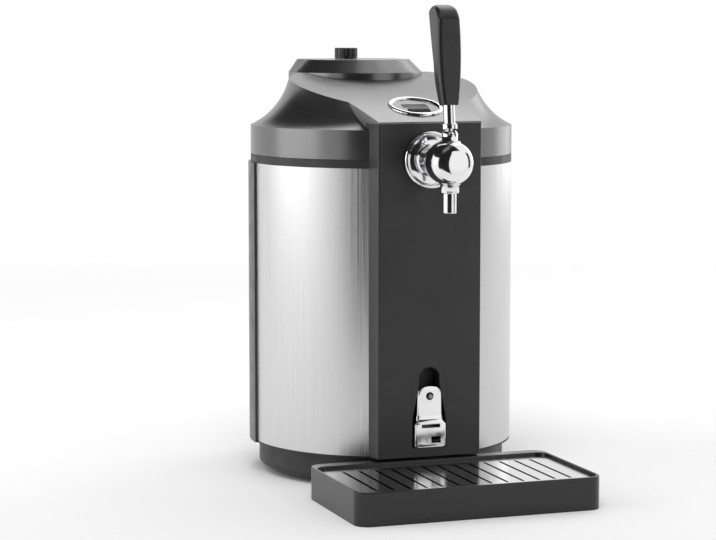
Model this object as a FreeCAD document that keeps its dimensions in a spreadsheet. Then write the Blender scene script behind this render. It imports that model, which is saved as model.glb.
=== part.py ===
import FreeCAD, Part
import math
import os
import Sketcher

# Counter-top beer dispenser for one 5 litre keg: an insulated round cabinet with a
# thermoelectric cooler behind it, a hinged lid, a lever tap on the flat front panel,
# a bottle opener in a niche below the tap and a loose drip tray.
# Millimetres. X is to the right, Y to the back, Z up. Every piece is drawn about the
# keg's axis and then shifted back, so that the origin is under the middle of the footprint.

Vector = FreeCAD.Vector
Rotation = FreeCAD.Rotation
Placement = FreeCAD.Placement

doc = FreeCAD.newDocument("keg_dispenser")

SIZES = {
    # cabinet, from the table up
    "foot_height": 6.0,
    "foot_radius": 9.0,
    "foot_inset": 16.0,
    "plinth_setback": 7.5,
    "plinth_round": 5.0,
    "plinth_top": 33.5,
    "plinth_wall": 3.0,
    "rim_height": 2.0,
    "steel_height": 278.8,
    "steel_sheet": 0.8,
    "collar_height": 8.0,
    "collar_plate": 3.0,
    "collar_wall": 2.5,
    "land_width": 9.5,
    "land_height": 6.0,
    "hose_gap": 1.0,
    "notch_end": 2.0,
    # keg well and its insulation
    "keg_radius": 86.0,
    "keg_gap": 3.0,
    "well_wall": 1.2,
    "well_lift": 6.5,
    "well_corner": 8.0,
    "well_flange": 5.0,
    "insulation": 41.3,
    "foam_gap": 4.7,
    # front panel
    "panel_stand": 6.0,
    "panel_width": 105.0,
    "panel_depth": 24.0,
    "panel_splay": 10.3,
    "panel_rise": 34.7,
    "panel_wall": 3.0,
    "panel_round": 1.5,
    "niche_radius": 18.0,
    "niche_lift": 8.5,
    "niche_height": 79.0,
    "niche_depth": 19.0,
    "niche_wall": 2.0,
    # rear cover
    "cover_step": 2.5,
    "cover_wall": 2.6,
    "housing_width": 124.0,
    "housing_stand": 14.5,
    "housing_lift": 12.5,
    "housing_round": 10.0,
    "cover_boss": 9.0,
    "frame_gap": 0.4,
    "slot_width": 3.2,
    "slot_pitch": 6.4,
    "grille_rows": 5,
    "vent_rows": 6,
    "vent_drop": 22.0,
    "head_sink": 1.8,
    # cooling unit
    "fan_lift": 132.0,
    "fan_room": 2.9,
    "fan_size": 80.0,
    "fan_depth": 15.0,
    "fan_bore": 37.5,
    "fan_hub": 16.0,
    "fan_holes": 71.5,
    "fan_screw": 1.5,
    "fan_head": 3.0,
    "fan_head_rise": 1.6,
    "cover_screw_length": 20.0,
    "cover_head_rise": 1.5,
    "cover_head": 3.1,
    "head_sunk": 0.3,
    "fan_blades": 7,
    "fan_shaft": 1.5,
    "fan_corner": 4.0,
    "fan_hole": 2.2,
    "strut_depth": 2.5,
    "strut_half": 1.5,
    "bearing_radius": 4.0,
    "bearing_short": 3.0,
    "rotor_gap": 1.0,
    "rotor_short": 5.0,
    "shaft_short": 2.0,
    "hub_wall": 1.5,
    "blade_root": 0.8,
    "blade_thick": 1.0,
    "blade_margin": 0.4,
    "blade_bow": 16.0,
    "root_twist": 12.0,
    "tip_twist": 8.0,
    "blade_gap": 1.5,
    "blade_pitch": 38.0,
    "sink_width": 92.2,
    "sink_height": 96.0,
    "sink_base": 4.0,
    "fin_depth": 14.0,
    "fin_sheet": 1.2,
    "fin_count": 15,
    "channel_gap": 0.6,
    "channel_sunk": 0.5,
    "cell_size": 40.0,
    "cell_depth": 3.8,
    "frame_sheet": 1.5,
    "frame_floor": 4.0,
    "frame_post": 4.0,
    "board_sheet": 1.6,
    "board_width": 84.0,
    "board_height": 62.0,
    "board_lift": 8.0,
    "control_width": 60.0,
    "control_height": 40.0,
    "control_gap": 14.0,
    "sensor_radius": 3.0,
    "sensor_length": 20.0,
    "sensor_slot": 16.0,
    "sensor_gap": 2.0,
    "sensor_angle": 70.0,
    # power connector and switch in the rear cover
    "inlet_offset": 28.0,
    "inlet_lift": 32.0,
    "inlet_width": 24.0,
    "inlet_tall": 17.0,
    "inlet_depth": 16.0,
    "inlet_wall": 2.0,
    "inlet_mouth": 4.3,
    "inlet_waist": 2.5,
    "inlet_pin": 1.2,
    "inlet_pin_short": 5.0,
    "switch_wall": 1.5,
    "pin_seat": 0.5,
    "rocker_tilt": 12.0,
    "rocker_pin": 1.2,
    "rocker_sink": 5.0,
    "rocker_gap": 0.3,
    "rocker_play": 0.7,
    "rocker_back": 4.5,
    "rocker_hollow": 2.2,
    "screw_radius": 1.6,
    "screw_bite": 3.0,
    "dome_radius": 3.6,
    "dome_rise": 2.2,
    "dome_edge": 0.8,
    # lid
    "lid_gap": 0.3,
    "lid_wall": 2.6,
    "neck_margin": 4.0,
    "nose_back": 70.0,
    "roof_beyond": 20.0,
    "skirt_height": 28.4,
    "flare_width": 37.8,
    "flare_height": 44.0,
    "flare_radius": 68.0,
    "roof_lip": 2.2,
    "roof_climb": 35.8,
    "roof_radius": 900.0,
    "rear_climb": 8.0,
    "rear_run": 55.0,
    "hump_radius": 67.0,
    "hump_length": 59.5,
    "hump_step": 7.0,
    "hump_crown": 13.0,
    "hump_taper": 13.0,
    "hump_corner": 42.0,
    "hinge_rise": 6.0,
    "hinge_stand": 7.5,
    "hinge_barrel": 4.2,
    "web_drop": 3.0,
    "hinge_pin": 1.5,
    "knuckle_start": 14.0,
    "knuckle_length": 12.0,
    "pin_gap": 0.05,
    "liner_gap": 0.9,
    "liner_sheet": 2.0,
    "lip_height": 10.0,
    "lip_inset": 2.0,
    "foam_step": 8.0,
    "foam_edge": 4.0,
    "foam_drop": 6.0,
    "gasket_width": 5.0,
    "gasket_round": 0.6,
    "boss_inset": 16.0,
    "boss_radius": 4.0,
    "boss_angle": 40.0,
    "boss_pilot": 13.0,
    "boss_length": 60.0,
    "boss_room": 0.3,
    "lid_screw_head": 3.2,
    "lid_screw_rise": 1.8,
    # regulator in the lid's hump
    "knob_setback": 24.5,
    "knob_radius": 12.0,
    "knob_height": 11.0,
    "knob_flutes": 16,
    "regulator_radius": 15.0,
    "regulator_height": 58.0,
    "regulator_neck": 9.0,
    "stem_radius": 4.0,
    "stem_room": 14.0,
    "stem_length": 12.0,
    "stem_drop": 10.0,
    "knob_room": 2.6,
    "knob_gap": 0.3,
    "knob_edge": 1.2,
    "flute_radius": 1.3,
    "flute_out": 0.7,
    "flute_foot": 2.0,
    "gas_tail": 3.5,
    "gas_bore": 1.5,
    "inlet_bore": 2.0,
    "inlet_length": 12.0,
    "neck_rise_above": 2.0,
    "boss_reach": 9.0,
    "regulator_bevel": 2.0,
    "tail_shoulder": 5.5,
    "tail_seat": 16.5,
    "tail_end": 30.0,
    "tail_rise": 22.0,
    "sleeve_rise": 17.0,
    "sleeve_radius": 13.5,
    "sleeve_bore": 11.3,
    "sleeve_dome": 6.0,
    "sleeve_end": 2.5,
    "sleeve_seat": 8.0,
    "sleeve_length": 81.7,
    # display in the roof
    "display_setback": 40.0,
    "bezel_radius": 27.0,
    "bezel_width": 4.5,
    "bezel_rise": 2.2,
    "bezel_lip": 0.4,
    "bezel_foot": 0.2,
    "bezel_outer_bow": 2.3,
    "bezel_inner_bow": 3.2,
    "window_half": 13.0,
    "window_low": 3.0,
    "window_high": 8.0,
    "window_sunk": 1.2,
    "window_sheet": 1.0,
    "button_half": 10.7,
    "button_low": 13.7,
    "button_high": 6.8,
    "button_room": 0.3,
    "button_proud": 0.9,
    "flange_wide": 12.0,
    "flange_low": 14.2,
    "flange_high": 5.5,
    "flange_thick": 1.1,
    "post_radius": 1.8,
    "post_length": 5.0,
    "post_height": 7.0,
    "board_radius": 17.0,
    "bezel_sink": 2.5,
    "seat_margin": 3.0,
    "recess_gap": 0.2,
    "display_well": 19.0,
    "well_length": 40.0,
    # tap
    "tap_drop": 34.3,
    "flange_radius": 27.5,
    "flange_depth": 6.0,
    "flange_edge": 1.5,
    "flange_bead": 2.5,
    "flange_boss": 14.5,
    "flange_bow": 30.0,
    "barrel_centre": 50.0,
    "barrel_length": 34.0,
    "barrel_radius": 21.5,
    "barrel_bore": 9.0,
    "barrel_dome": 7.0,
    "barrel_round": 4.0,
    "barrel_wall": 4.0,
    "plunger_length": 15.0,
    "plunger_lead": 7.5,
    "seal_start": 11.5,
    "seal_depth": 2.0,
    "seal_gap": 0.1,
    "slot_front": 5.0,
    "slot_back": 3.6,
    "slot_side": 4.0,
    "slot_floor": 0.5,
    "collar_radius": 9.0,
    "collar_drop": 7.0,
    "collar_round": 1.5,
    "spout_lap": 10.0,
    "throat_half": 4.2,
    "throat_back": 12.0,
    "neck_bore": 6.1,
    "bonnet_radius": 7.6,
    "bonnet_edge": 0.4,
    "bonnet_rise": 3.0,
    "bonnet_bow": 9.0,
    "bonnet_slot": 0.4,
    "bonnet_back": 0.9,
    "bonnet_floor": 1.2,
    "lever_neck": 3.2,
    "washer_sheet": 1.5,
    "washer_inset": 1.5,
    "nut_depth": 6.0,
    "shank_radius": 8.0,
    "shank_bore": 3.5,
    "tail_radius": 4.0,
    "tail_length": 14.0,
    "tail_bevel": 0.8,
    "nut_size": 25.0,
    "coupling_radius": 14.0,
    "coupling_depth": 10.5,
    "coupling_round": 1.5,
    "ball_radius": 5.8,
    "trunnion_radius": 1.2,
    "trunnion_reach": 6.9,
    "neck_rise": 3.3,
    "rod_radius": 5.4,
    "stub_radius": 2.9,
    "stub_gap": 2.0,
    "neck_length": 12.0,
    "skirt_bottom": 6.9,
    "skirt_inner": 3.6,
    "skirt_hollow": 0.9,
    "skirt_flare": 1.8,
    "skirt_crest": 11.8,
    "handle_rise": 29.0,
    "handle_length": 95.5,
    "handle_lean": 5.5,
    "handle_foot": 14.0,
    "handle_head": 21.5,
    "handle_depth": 27.0,
    "handle_round": 4.0,
    "handle_swell": 0.42,
    "handle_bow": 420.0,
    "handle_head_back": 9.0,
    "handle_crown": 10.5,
    "handle_shoulder": 10.0,
    "handle_flare": 1.2,
    "bush_room": 0.4,
    "thread_radius": 4.0,
    "thread_beyond": 2.0,
    "thread_gap": 0.2,
    "thread_room": 4.0,
    "insert_radius": 5.4,
    "insert_length": 20.0,
    "insert_gap": 0.3,
    "spout_radius": 6.5,
    "spout_bore": 4.5,
    "spout_round": 0.8,
    "spout_length": 25.7,
    # bottle opener
    "screw_drop": 9.5,
    "opener_plate": 3.0,
    "opener_margin": 19.0,
    "opener_gap": 1.0,
    "opener_inset": 4.0,
    "hood_gap": 1.5,
    "hood_height": 26.0,
    "hood_reach": 4.0,
    "hood_wall": 3.0,
    "hood_corner": 10.0,
    "window_width": 9.0,
    "window_sill": 4.0,
    "window_height": 6.0,
    "plate_rise": 6.0,
    "hood_round": 1.2,
    # drip tray
    "tray_width": 243.0,
    "tray_reach": 137.0,
    "tray_tuck": 9.0,
    "tray_gap": 0.2,
    "tray_round": 14.0,
    "tray_wall": 3.0,
    "tray_floor": 3.5,
    "plate_sheet": 1.0,
    "plate_gap": 0.6,
    "plate_drop": 3.0,
    "ledge_width": 4.0,
    "tray_edge": 0.9,
    "drip_step": 16.0,
    "drip_slots": 13,
    "slot_half": 1.5,
    "slot_end": 16.0,
    "plate_back": 1.0,
}


# how far a cutting tool runs past the piece that it cuts
OVERRUN = 1.0


class Size:
    """A number that remembers the spreadsheet expression it comes from."""

    def __init__(self, value, text):
        self.value = float(value)
        self.text = text

    def __add__(self, other):
        other = sized(other)
        return Size(self.value + other.value, f"({self.text} + {other.text})")

    def __radd__(self, other):
        return sized(other) + self

    def __sub__(self, other):
        other = sized(other)
        return Size(self.value - other.value, f"({self.text} - {other.text})")

    def __rsub__(self, other):
        return sized(other) - self

    def __mul__(self, other):
        other = sized(other)
        return Size(self.value * other.value, f"({self.text} * {other.text})")

    def __rmul__(self, other):
        return sized(other) * self

    def __truediv__(self, other):
        other = sized(other)
        return Size(self.value / other.value, f"({self.text} / {other.text})")

    def __neg__(self):
        return Size(-self.value, f"(0 - {self.text})")


def sized(value):
    """A plain number as a Size, a Size as it is."""
    if isinstance(value, Size):
        return value
    return Size(value, f"({float(value)!r})")


def root(size):
    size = sized(size)
    return Size(math.sqrt(size.value), f"sqrt({size.text})")


def sine(degrees):
    degrees = sized(degrees)
    return Size(math.sin(math.radians(degrees.value)), f"sin({degrees.text})")


def cosine(degrees):
    degrees = sized(degrees)
    return Size(math.cos(math.radians(degrees.value)), f"cos({degrees.text})")


def tangent(degrees):
    degrees = sized(degrees)
    return Size(math.tan(math.radians(degrees.value)), f"tan({degrees.text})")


def number(value):
    return value.value if isinstance(value, Size) else float(value)


def bind(item, prop, value):
    """Sets a property to a number, or ties it to the spreadsheet."""
    if isinstance(value, Size):
        item.setExpression(prop, value.text)
    else:
        setattr(item, prop, value)


class Sheet:
    """The spreadsheet of driving sizes, read by name as Size values."""

    def __init__(self):
        self.sheet = doc.addObject("Spreadsheet::Sheet", "dim")
        self.rows = 0
        for alias, value in SIZES.items():
            self.add_row(alias, repr(value))
        doc.recompute()

    def add_row(self, alias, content):
        self.rows += 1
        self.sheet.set(f"A{self.rows}", alias)
        self.sheet.set(f"B{self.rows}", content)
        self.sheet.setAlias(f"B{self.rows}", alias)

    def derive(self, alias, size):
        """Adds a size that follows from others, as a formula on a row of its own."""
        self.add_row(alias, "=" + size.text.replace("dim.", ""))
        return Size(size.value, f"dim.{alias}")

    def __getattr__(self, alias):
        return Size(SIZES[alias], f"dim.{alias}")


dim = Sheet()


# ---------------------------------------------------------------- drawing helpers

PLANES = {
    "XY": Rotation(),
    "XZ": Rotation(Vector(1, 0, 0), 90),
    "YZ": Rotation(Vector(1, 1, 1), 120),
}
TOWARDS = {"XY": Vector(0, 0, 1), "XZ": Vector(0, 1, 0), "YZ": Vector(1, 0, 0)}
ALONG = {
    "z": Rotation(),
    "-z": Rotation(Vector(1, 0, 0), 180),
    "y": Rotation(Vector(1, 0, 0), -90),
    "-y": Rotation(Vector(1, 0, 0), 90),
    "x": Rotation(Vector(0, 1, 0), 90),
    "-x": Rotation(Vector(0, 1, 0), -90),
}


PLACES = {}


def place(item, x=0, y=0, z=0, turn=None):
    """Turns an item about its own origin, then moves that origin to (x, y, z)."""
    PLACES[item.Name] = (x, y, z, turn)
    item.Placement = Placement(Vector(number(x), number(y), number(z)), turn or Rotation())
    for letter, value in zip("xyz", (x, y, z)):
        if isinstance(value, Size):
            item.setExpression(f"Placement.Base.{letter}", value.text)
    return item


def arc_between(start, end, radius):
    """The arc from start to end; a positive radius turns left on the way, a negative one right."""
    chord = end - start
    reach = math.sqrt(max(radius * radius - chord.Length ** 2 / 4, 0.0))
    side = Vector(-chord.y, chord.x, 0).normalize() * math.copysign(reach, radius)
    centre = (start + end) / 2 + side
    first, last = (start, end) if radius > 0 else (end, start)
    angles = [math.atan2(point.y - centre.y, point.x - centre.x) for point in (first, last)]
    circle = Part.Circle(centre, Vector(0, 0, 1), abs(radius))
    return Part.ArcOfCircle(circle, angles[0], angles[1])


def constrain(sketch, kind, *targets, size):
    """Adds a dimension to a sketch and ties it to the spreadsheet."""
    index = sketch.addConstraint(Sketcher.Constraint(kind, *targets, number(size)))
    if isinstance(size, Size):
        sketch.setExpression(f"Constraints[{index}]", size.text)


def outline(sketch, corners):
    """A closed outline. A corner is (x, y), or (x, y, radius) where an arc arrives at it."""
    spots = [Vector(number(corner[0]), number(corner[1]), 0) for corner in corners]
    edges = []
    for index, corner in enumerate(corners):
        start, end = spots[index - 1], spots[index]
        if len(corner) == 2:
            edge = sketch.addGeometry(Part.LineSegment(start, end))
            edges.append((edge, 1, 2))
            continue
        edge = sketch.addGeometry(arc_between(start, end, number(corner[2])))
        ends = (1, 2) if number(corner[2]) > 0 else (2, 1)
        edges.append((edge, *ends))
    for before, after in zip(edges, edges[1:] + edges[:1]):
        sketch.addConstraint(Sketcher.Constraint("Coincident", before[0], before[2], after[0], after[1]))
    for (edge, _, end), corner in zip(edges, corners):
        constrain(sketch, "DistanceX", -1, 1, edge, end, size=corner[0])
        constrain(sketch, "DistanceY", -1, 1, edge, end, size=corner[1])
        if len(corner) == 3:
            radius = corner[2] if number(corner[2]) > 0 else 0 - sized(corner[2])
            constrain(sketch, "Radius", edge, size=radius)


def ring_at(sketch, x, y, radius):
    """A circle about (x, y)."""
    middle = Vector(number(x), number(y), 0)
    edge = sketch.addGeometry(Part.Circle(middle, Vector(0, 0, 1), number(radius)))
    constrain(sketch, "DistanceX", -1, 1, edge, 3, size=x)
    constrain(sketch, "DistanceY", -1, 1, edge, 3, size=y)
    constrain(sketch, "Radius", edge, size=radius)


def rectangle(low_x, high_x, low_y, high_y):
    return [(low_x, low_y), (high_x, low_y), (high_x, high_y), (low_x, high_y)]


def rounded(low_x, high_x, low_y, high_y, radius):
    """A rectangle with four round corners."""
    return [
        (high_x - radius, low_y), (high_x, low_y + radius, radius),
        (high_x, high_y - radius), (high_x - radius, high_y, radius),
        (low_x + radius, high_y), (low_x, high_y - radius, radius),
        (low_x, low_y + radius), (low_x + radius, low_y, radius),
    ]


def arch(radius, bottom, top, middle=0):
    """A doorway about a middle line: straight sides and a half-round head."""
    left, right = middle - sized(radius), middle + sized(radius)
    return [
        (left, bottom), (right, bottom), (right, top - radius),
        (middle, top, radius), (left, top - radius, radius),
    ]


# ---------------------------------------------------------------- Part solids

def cylinder(name, radius, height, x=0, y=0, z=0, along="z"):
    item = doc.addObject("Part::Cylinder", name)
    bind(item, "Radius", radius)
    bind(item, "Height", height)
    return place(item, x, y, z, ALONG[along])


def sphere(name, radius, x=0, y=0, z=0):
    item = doc.addObject("Part::Sphere", name)
    bind(item, "Radius", radius)
    return place(item, x, y, z)


def block(name, low, high):
    """A box between two opposite corners."""
    item = doc.addObject("Part::Box", name)
    for side, start, end in zip(("Length", "Width", "Height"), low, high):
        bind(item, side, sized(end) - start)
    return place(item, *low)


def hexagon(name, across_flats, height, x=0, y=0, z=0, along="z"):
    item = doc.addObject("Part::Prism", name)
    item.Polygon = 6
    bind(item, "Circumradius", sized(across_flats) / root(3))
    bind(item, "Height", height)
    return place(item, x, y, z, ALONG[along])


def drawn(name, plane, corners, x=0, y=0, z=0):
    """An outline on a plane of its own, outside any body."""
    item = doc.addObject("Sketcher::SketchObject", name)
    outline(item, corners)
    return place(item, x, y, z, PLANES[plane])


def prism(name, plane, corners, start, end):
    """An outline on XY, XZ or YZ drawn out along Z, Y or X from start to end."""
    offset = {"XY": (0, 0, start), "XZ": (0, start, 0), "YZ": (start, 0, 0)}[plane]
    item = doc.addObject("Part::Extrusion", name)
    item.Base = drawn(name + "_outline", plane, corners, *offset)
    item.DirMode = "Custom"
    item.Dir = TOWARDS[plane]
    item.Solid = True
    bind(item, "LengthFwd", sized(end) - start)
    return item


def turned(name, corners, x=0, y=0, z=0, along="z"):
    """A (radius, height) outline turned about its own axis, which then points along."""
    item = doc.addObject("Part::Revolution", name)
    item.Source = drawn(name + "_profile", "XZ", corners)
    item.Axis = Vector(0, 0, 1)
    item.Angle = 360
    item.Solid = True
    return place(item, x, y, z, ALONG[along])


def loft(name, sections, ruled=False):
    item = doc.addObject("Part::Loft", name)
    item.Sections = sections
    item.Solid = True
    item.Ruled = ruled
    return item


def fuse(name, *parts):
    item = doc.addObject("Part::MultiFuse", name)
    item.Shapes = list(parts)
    item.Refine = True
    return item


def common(name, *parts):
    item = doc.addObject("Part::MultiCommon", name)
    item.Shapes = list(parts)
    return item


def cut(name, blank, *tools):
    item = doc.addObject("Part::Cut", name)
    item.Base = blank
    item.Tool = tools[0] if len(tools) == 1 else fuse(name + "_tools", *tools)
    return item


def group(name, parts):
    """Like pieces that share one node, each a solid of its own."""
    item = doc.addObject("Part::Compound", name)
    item.Links = list(parts)
    return item


# ---------------------------------------------------------------- PartDesign solids

def body(name):
    item = doc.addObject("PartDesign::Body", name)
    item.Label = name
    return item


def sketch(piece, plane, lift=0, corners=None, more=(), circles=()):
    """A sketch on one of the body's own origin planes, lifted along its normal."""
    item = piece.newObject("Sketcher::SketchObject", piece.Name + "_sketch")
    support = [origin for origin in piece.Origin.OriginFeatures if origin.Role == plane + "_Plane"][0]
    item.AttachmentSupport = [(support, "")]
    item.MapMode = "FlatFace"
    item.AttachmentOffset = Placement(Vector(0, 0, number(lift)), Rotation())
    if isinstance(lift, Size):
        item.setExpression("AttachmentOffset.Base.z", lift.text)
    for shape in ([corners] if corners else []) + list(more):
        outline(item, shape)
    for circle in circles:
        ring_at(item, *circle)
    return item


def feature(piece, kind, profile, length, reverse, middle):
    item = piece.newObject("PartDesign::" + kind, f"{piece.Name}_{kind.lower()}")
    item.Profile = profile
    item.Reversed = reverse
    item.Midplane = middle
    bind(item, "Length", length)
    return item


def pad(piece, profile, length, reverse=False, middle=False):
    return feature(piece, "Pad", profile, length, reverse, middle)


def pocket(piece, profile, length, reverse=False, middle=False):
    return feature(piece, "Pocket", profile, length, reverse, middle)


def revolve(piece, profile, angle=360, reverse=False):
    item = piece.newObject("PartDesign::Revolution", piece.Name + "_revolution")
    item.Profile = profile
    item.ReferenceAxis = (profile, ["V_Axis"])
    item.Angle = angle
    item.Reversed = reverse
    return item


def row(piece, original, profile, axis, length, count):
    """Repeats a feature along the H or V axis of its sketch."""
    item = piece.newObject("PartDesign::LinearPattern", piece.Name + "_row")
    item.Originals = [original]
    item.Direction = (profile, [axis])
    bind(item, "Length", length)
    item.Occurrences = int(count)
    piece.Tip = item
    return item


def circle_of(piece, originals, profile, axis, count):
    """Repeats features round an axis of their sketch."""
    item = piece.newObject("PartDesign::PolarPattern", piece.Name + "_circle")
    item.Originals = originals
    item.Axis = (profile, [axis])
    item.Angle = 360
    item.Occurrences = int(count)
    piece.Tip = item
    return item


def dress(piece, kind, size, wanted):
    """Rounds or bevels the edges of the body that a test picks."""
    doc.recompute()
    base = piece.Tip
    names = []
    for index, edge in enumerate(base.Shape.Edges, start=1):
        if wanted(edge):
            names.append(f"Edge{index}")
    if not names:
        raise RuntimeError(f"{piece.Name}: no edge to dress")
    item = piece.newObject("PartDesign::" + kind, f"{piece.Name}_{kind.lower()}")
    item.Base = (base, names)
    bind(item, "Radius" if kind == "Fillet" else "Size", size)
    return item


def near(value, size, tolerance=0.02):
    return abs(value - number(size)) < tolerance


def upright(edge):
    """Whether an edge is a straight one along Z."""
    box = edge.BoundBox
    return box.XLength < 0.01 and box.YLength < 0.01 and box.ZLength > 0.1


def level_at(edge, height):
    """Whether an edge lies flat at a height."""
    return edge.BoundBox.ZLength < 0.01 and near(edge.BoundBox.ZMin, height)


# ---------------------------------------------------------------- sizes worked out once

WELL_RADIUS = dim.derive("well_radius", dim.keg_radius + dim.keg_gap)
WELL_OUTER = dim.derive("well_outer", WELL_RADIUS + dim.well_wall)
STEEL_RADIUS = dim.derive("steel_radius", WELL_OUTER + dim.insulation)
STEEL_TOP = dim.derive("steel_top", dim.plinth_top + dim.steel_height)
WELL_BOTTOM = dim.derive("well_bottom", dim.plinth_top + dim.well_lift)
FOAM_RADIUS = dim.derive("foam_radius", STEEL_RADIUS - dim.steel_sheet - dim.foam_gap)
PLINTH_RADIUS = dim.derive("plinth_radius", STEEL_RADIUS - dim.plinth_setback)
PLINTH_FLOOR = dim.derive("plinth_floor", dim.foot_height + dim.plinth_wall)
FOOT_CIRCLE = dim.derive("foot_circle", PLINTH_RADIUS - dim.foot_inset)
COLLAR_TOP = dim.derive("collar_top", STEEL_TOP + dim.collar_height)
LAND_TOP = dim.derive("land_top", STEEL_TOP + dim.land_height)
LAND_RADIUS = dim.derive("land_radius", WELL_RADIUS + dim.land_width)
BEYOND_STEEL = dim.derive("beyond_steel", STEEL_RADIUS + OVERRUN)

PANEL_REACH = dim.derive("panel_reach", STEEL_RADIUS + dim.panel_stand)
PANEL_TOP = dim.derive("panel_top", COLLAR_TOP + dim.panel_rise)
PANEL_FACE = dim.derive("panel_face", -PANEL_REACH)
PANEL_BACK = dim.derive("panel_back", PANEL_FACE + dim.panel_depth)
PANEL_INSIDE = dim.derive("panel_inside", PANEL_FACE + dim.panel_wall)
HALF_PANEL = dim.derive("half_panel", dim.panel_width / 2)
SPLAY = dim.derive("splay", tangent(dim.panel_splay))
NICHE_BOTTOM = dim.derive("niche_bottom", dim.plinth_top + dim.niche_lift)
NICHE_TOP = dim.derive("niche_top", NICHE_BOTTOM + dim.niche_height)

COVER_RADIUS = dim.derive("cover_radius", STEEL_RADIUS + dim.cover_step)
HOUSING_REACH = dim.derive("housing_reach", STEEL_RADIUS + dim.housing_stand)
HOUSING_BOTTOM = dim.derive("housing_bottom", dim.plinth_top + dim.housing_lift)
HALF_HOUSING = dim.derive("half_housing", dim.housing_width / 2)
FAN_HEIGHT = dim.derive("fan_height", HOUSING_BOTTOM + dim.fan_lift)
SINK_BACK = dim.derive("sink_back", HOUSING_REACH - dim.cover_wall - dim.fan_room - dim.fan_depth)
SINK_FRONT = dim.derive("sink_front", SINK_BACK - dim.fin_depth - dim.sink_base)
FRAME_BACK = dim.derive("frame_back", SINK_FRONT + dim.frame_sheet)
POST_BACK = dim.derive("post_back", HOUSING_REACH - dim.cover_wall - dim.cover_boss)
BOARD_BOTTOM = dim.derive("board_bottom", HOUSING_BOTTOM + dim.board_lift)
CONTROL_BOTTOM = dim.derive("control_bottom", FAN_HEIGHT + dim.sink_height / 2 + dim.control_gap)
INLET_HEIGHT = dim.derive("inlet_height", HOUSING_BOTTOM + dim.inlet_lift)

LID_BOTTOM = dim.derive("lid_bottom", COLLAR_TOP + dim.lid_gap)
LINER_TOP = dim.derive("liner_top", LID_BOTTOM + dim.liner_sheet)
LINER_RADIUS = dim.derive("liner_radius", STEEL_RADIUS - dim.lid_wall - dim.liner_gap)
BOSS_CIRCLE = dim.derive("boss_circle", LINER_RADIUS - dim.boss_inset)
SKIRT_TOP = dim.derive("skirt_top", LID_BOTTOM + dim.skirt_height)
NECK_RADIUS = dim.derive("neck_radius", STEEL_RADIUS - dim.flare_width)
NECK_HEIGHT = dim.derive("neck_height", SKIRT_TOP + dim.flare_height)
ROOF_FRONT = dim.derive("roof_front", PANEL_TOP + dim.roof_lip)
CREST_HEIGHT = dim.derive("crest_height", ROOF_FRONT + dim.roof_climb)
ROOF_REAR = dim.derive("roof_rear", CREST_HEIGHT + dim.rear_climb)
HUMP_CENTRE = dim.derive("hump_centre", STEEL_RADIUS - dim.hump_length)
CREST_BACK = dim.derive("crest_back", HUMP_CENTRE - dim.hump_radius)
HUMP_SHOULDER = dim.derive("hump_shoulder", CREST_HEIGHT + dim.hump_step)
HUMP_TOP = dim.derive("hump_top", HUMP_SHOULDER + dim.hump_crown)
HINGE_HEIGHT = dim.derive("hinge_height", COLLAR_TOP + dim.hinge_rise)
HINGE_REACH = dim.derive("hinge_reach", STEEL_RADIUS + dim.hinge_stand)
KNUCKLE_END = dim.derive("knuckle_end", dim.knuckle_start + dim.knuckle_length)
KNOB_CENTRE = dim.derive("knob_centre", STEEL_RADIUS - dim.knob_setback)
REGULATOR_BOTTOM = dim.derive("regulator_bottom", HUMP_TOP - dim.regulator_height)
SLEEVE_HEIGHT = dim.derive("sleeve_height", REGULATOR_BOTTOM + dim.sleeve_rise)
TAIL_HEIGHT = dim.derive("tail_height", SLEEVE_HEIGHT + dim.tail_rise)

TAP_HEIGHT = dim.derive("tap_height", PANEL_TOP - dim.tap_drop)
TAP_AXIS = dim.derive("tap_axis", PANEL_FACE - dim.barrel_centre)
BARREL_BACK = dim.derive("barrel_back", TAP_AXIS + dim.barrel_length / 2)
BARREL_FRONT = dim.derive("barrel_front", TAP_AXIS - dim.barrel_length / 2)
BALL_HEIGHT = dim.derive("ball_height", TAP_HEIGHT + dim.barrel_radius + dim.neck_rise)
HANDLE_BOTTOM = dim.derive("handle_bottom", BALL_HEIGHT + dim.handle_rise)
SPOUT_TIP = dim.derive("spout_tip", TAP_HEIGHT - dim.barrel_radius - dim.spout_length)

HOOD_HALF = dim.derive("hood_half", dim.niche_radius - dim.hood_gap)
OPENER_HALF = dim.derive("opener_half", HOOD_HALF - dim.opener_inset)
OPENER_TOP = dim.derive("opener_top", NICHE_TOP - dim.opener_margin)
OPENER_SCREW = dim.derive("opener_screw", OPENER_TOP - dim.screw_drop)
OPENER_BOTTOM = dim.derive("opener_bottom", NICHE_BOTTOM + dim.opener_gap)
HOOD_TOP = dim.derive("hood_top", OPENER_BOTTOM + dim.hood_height)

TRAY_HEIGHT = dim.derive("tray_height", dim.plinth_top - dim.rim_height - dim.tray_gap)
TRAY_FRONT = dim.derive("tray_front", PANEL_FACE - dim.tray_reach)
TRAY_BACK = dim.derive("tray_back", PANEL_FACE + dim.tray_tuck)
SEAT_BACK = dim.derive("seat_back", PANEL_FACE - dim.hood_reach - dim.plate_back)
KEG_AXIS = dim.derive("keg_axis", (dim.tray_reach + PANEL_REACH - HOUSING_REACH) / 2)

doc.recompute()


def cover_screw_places():
    """The (x, z) of the four screws in the rear cover's corners."""
    x = HALF_HOUSING - dim.housing_round
    low = HOUSING_BOTTOM + dim.housing_round
    high = STEEL_TOP - dim.housing_round
    return [(-x, low), (x, low), (-x, high), (x, high)]


def connector_hole(x):
    """The cut-out in the rear cover for the power inlet or the switch."""
    half_width = dim.inlet_width / 2
    half_height = dim.inlet_tall / 2
    return rectangle(x - half_width, x + half_width,
                     INLET_HEIGHT - half_height, INLET_HEIGHT + half_height)


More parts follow.
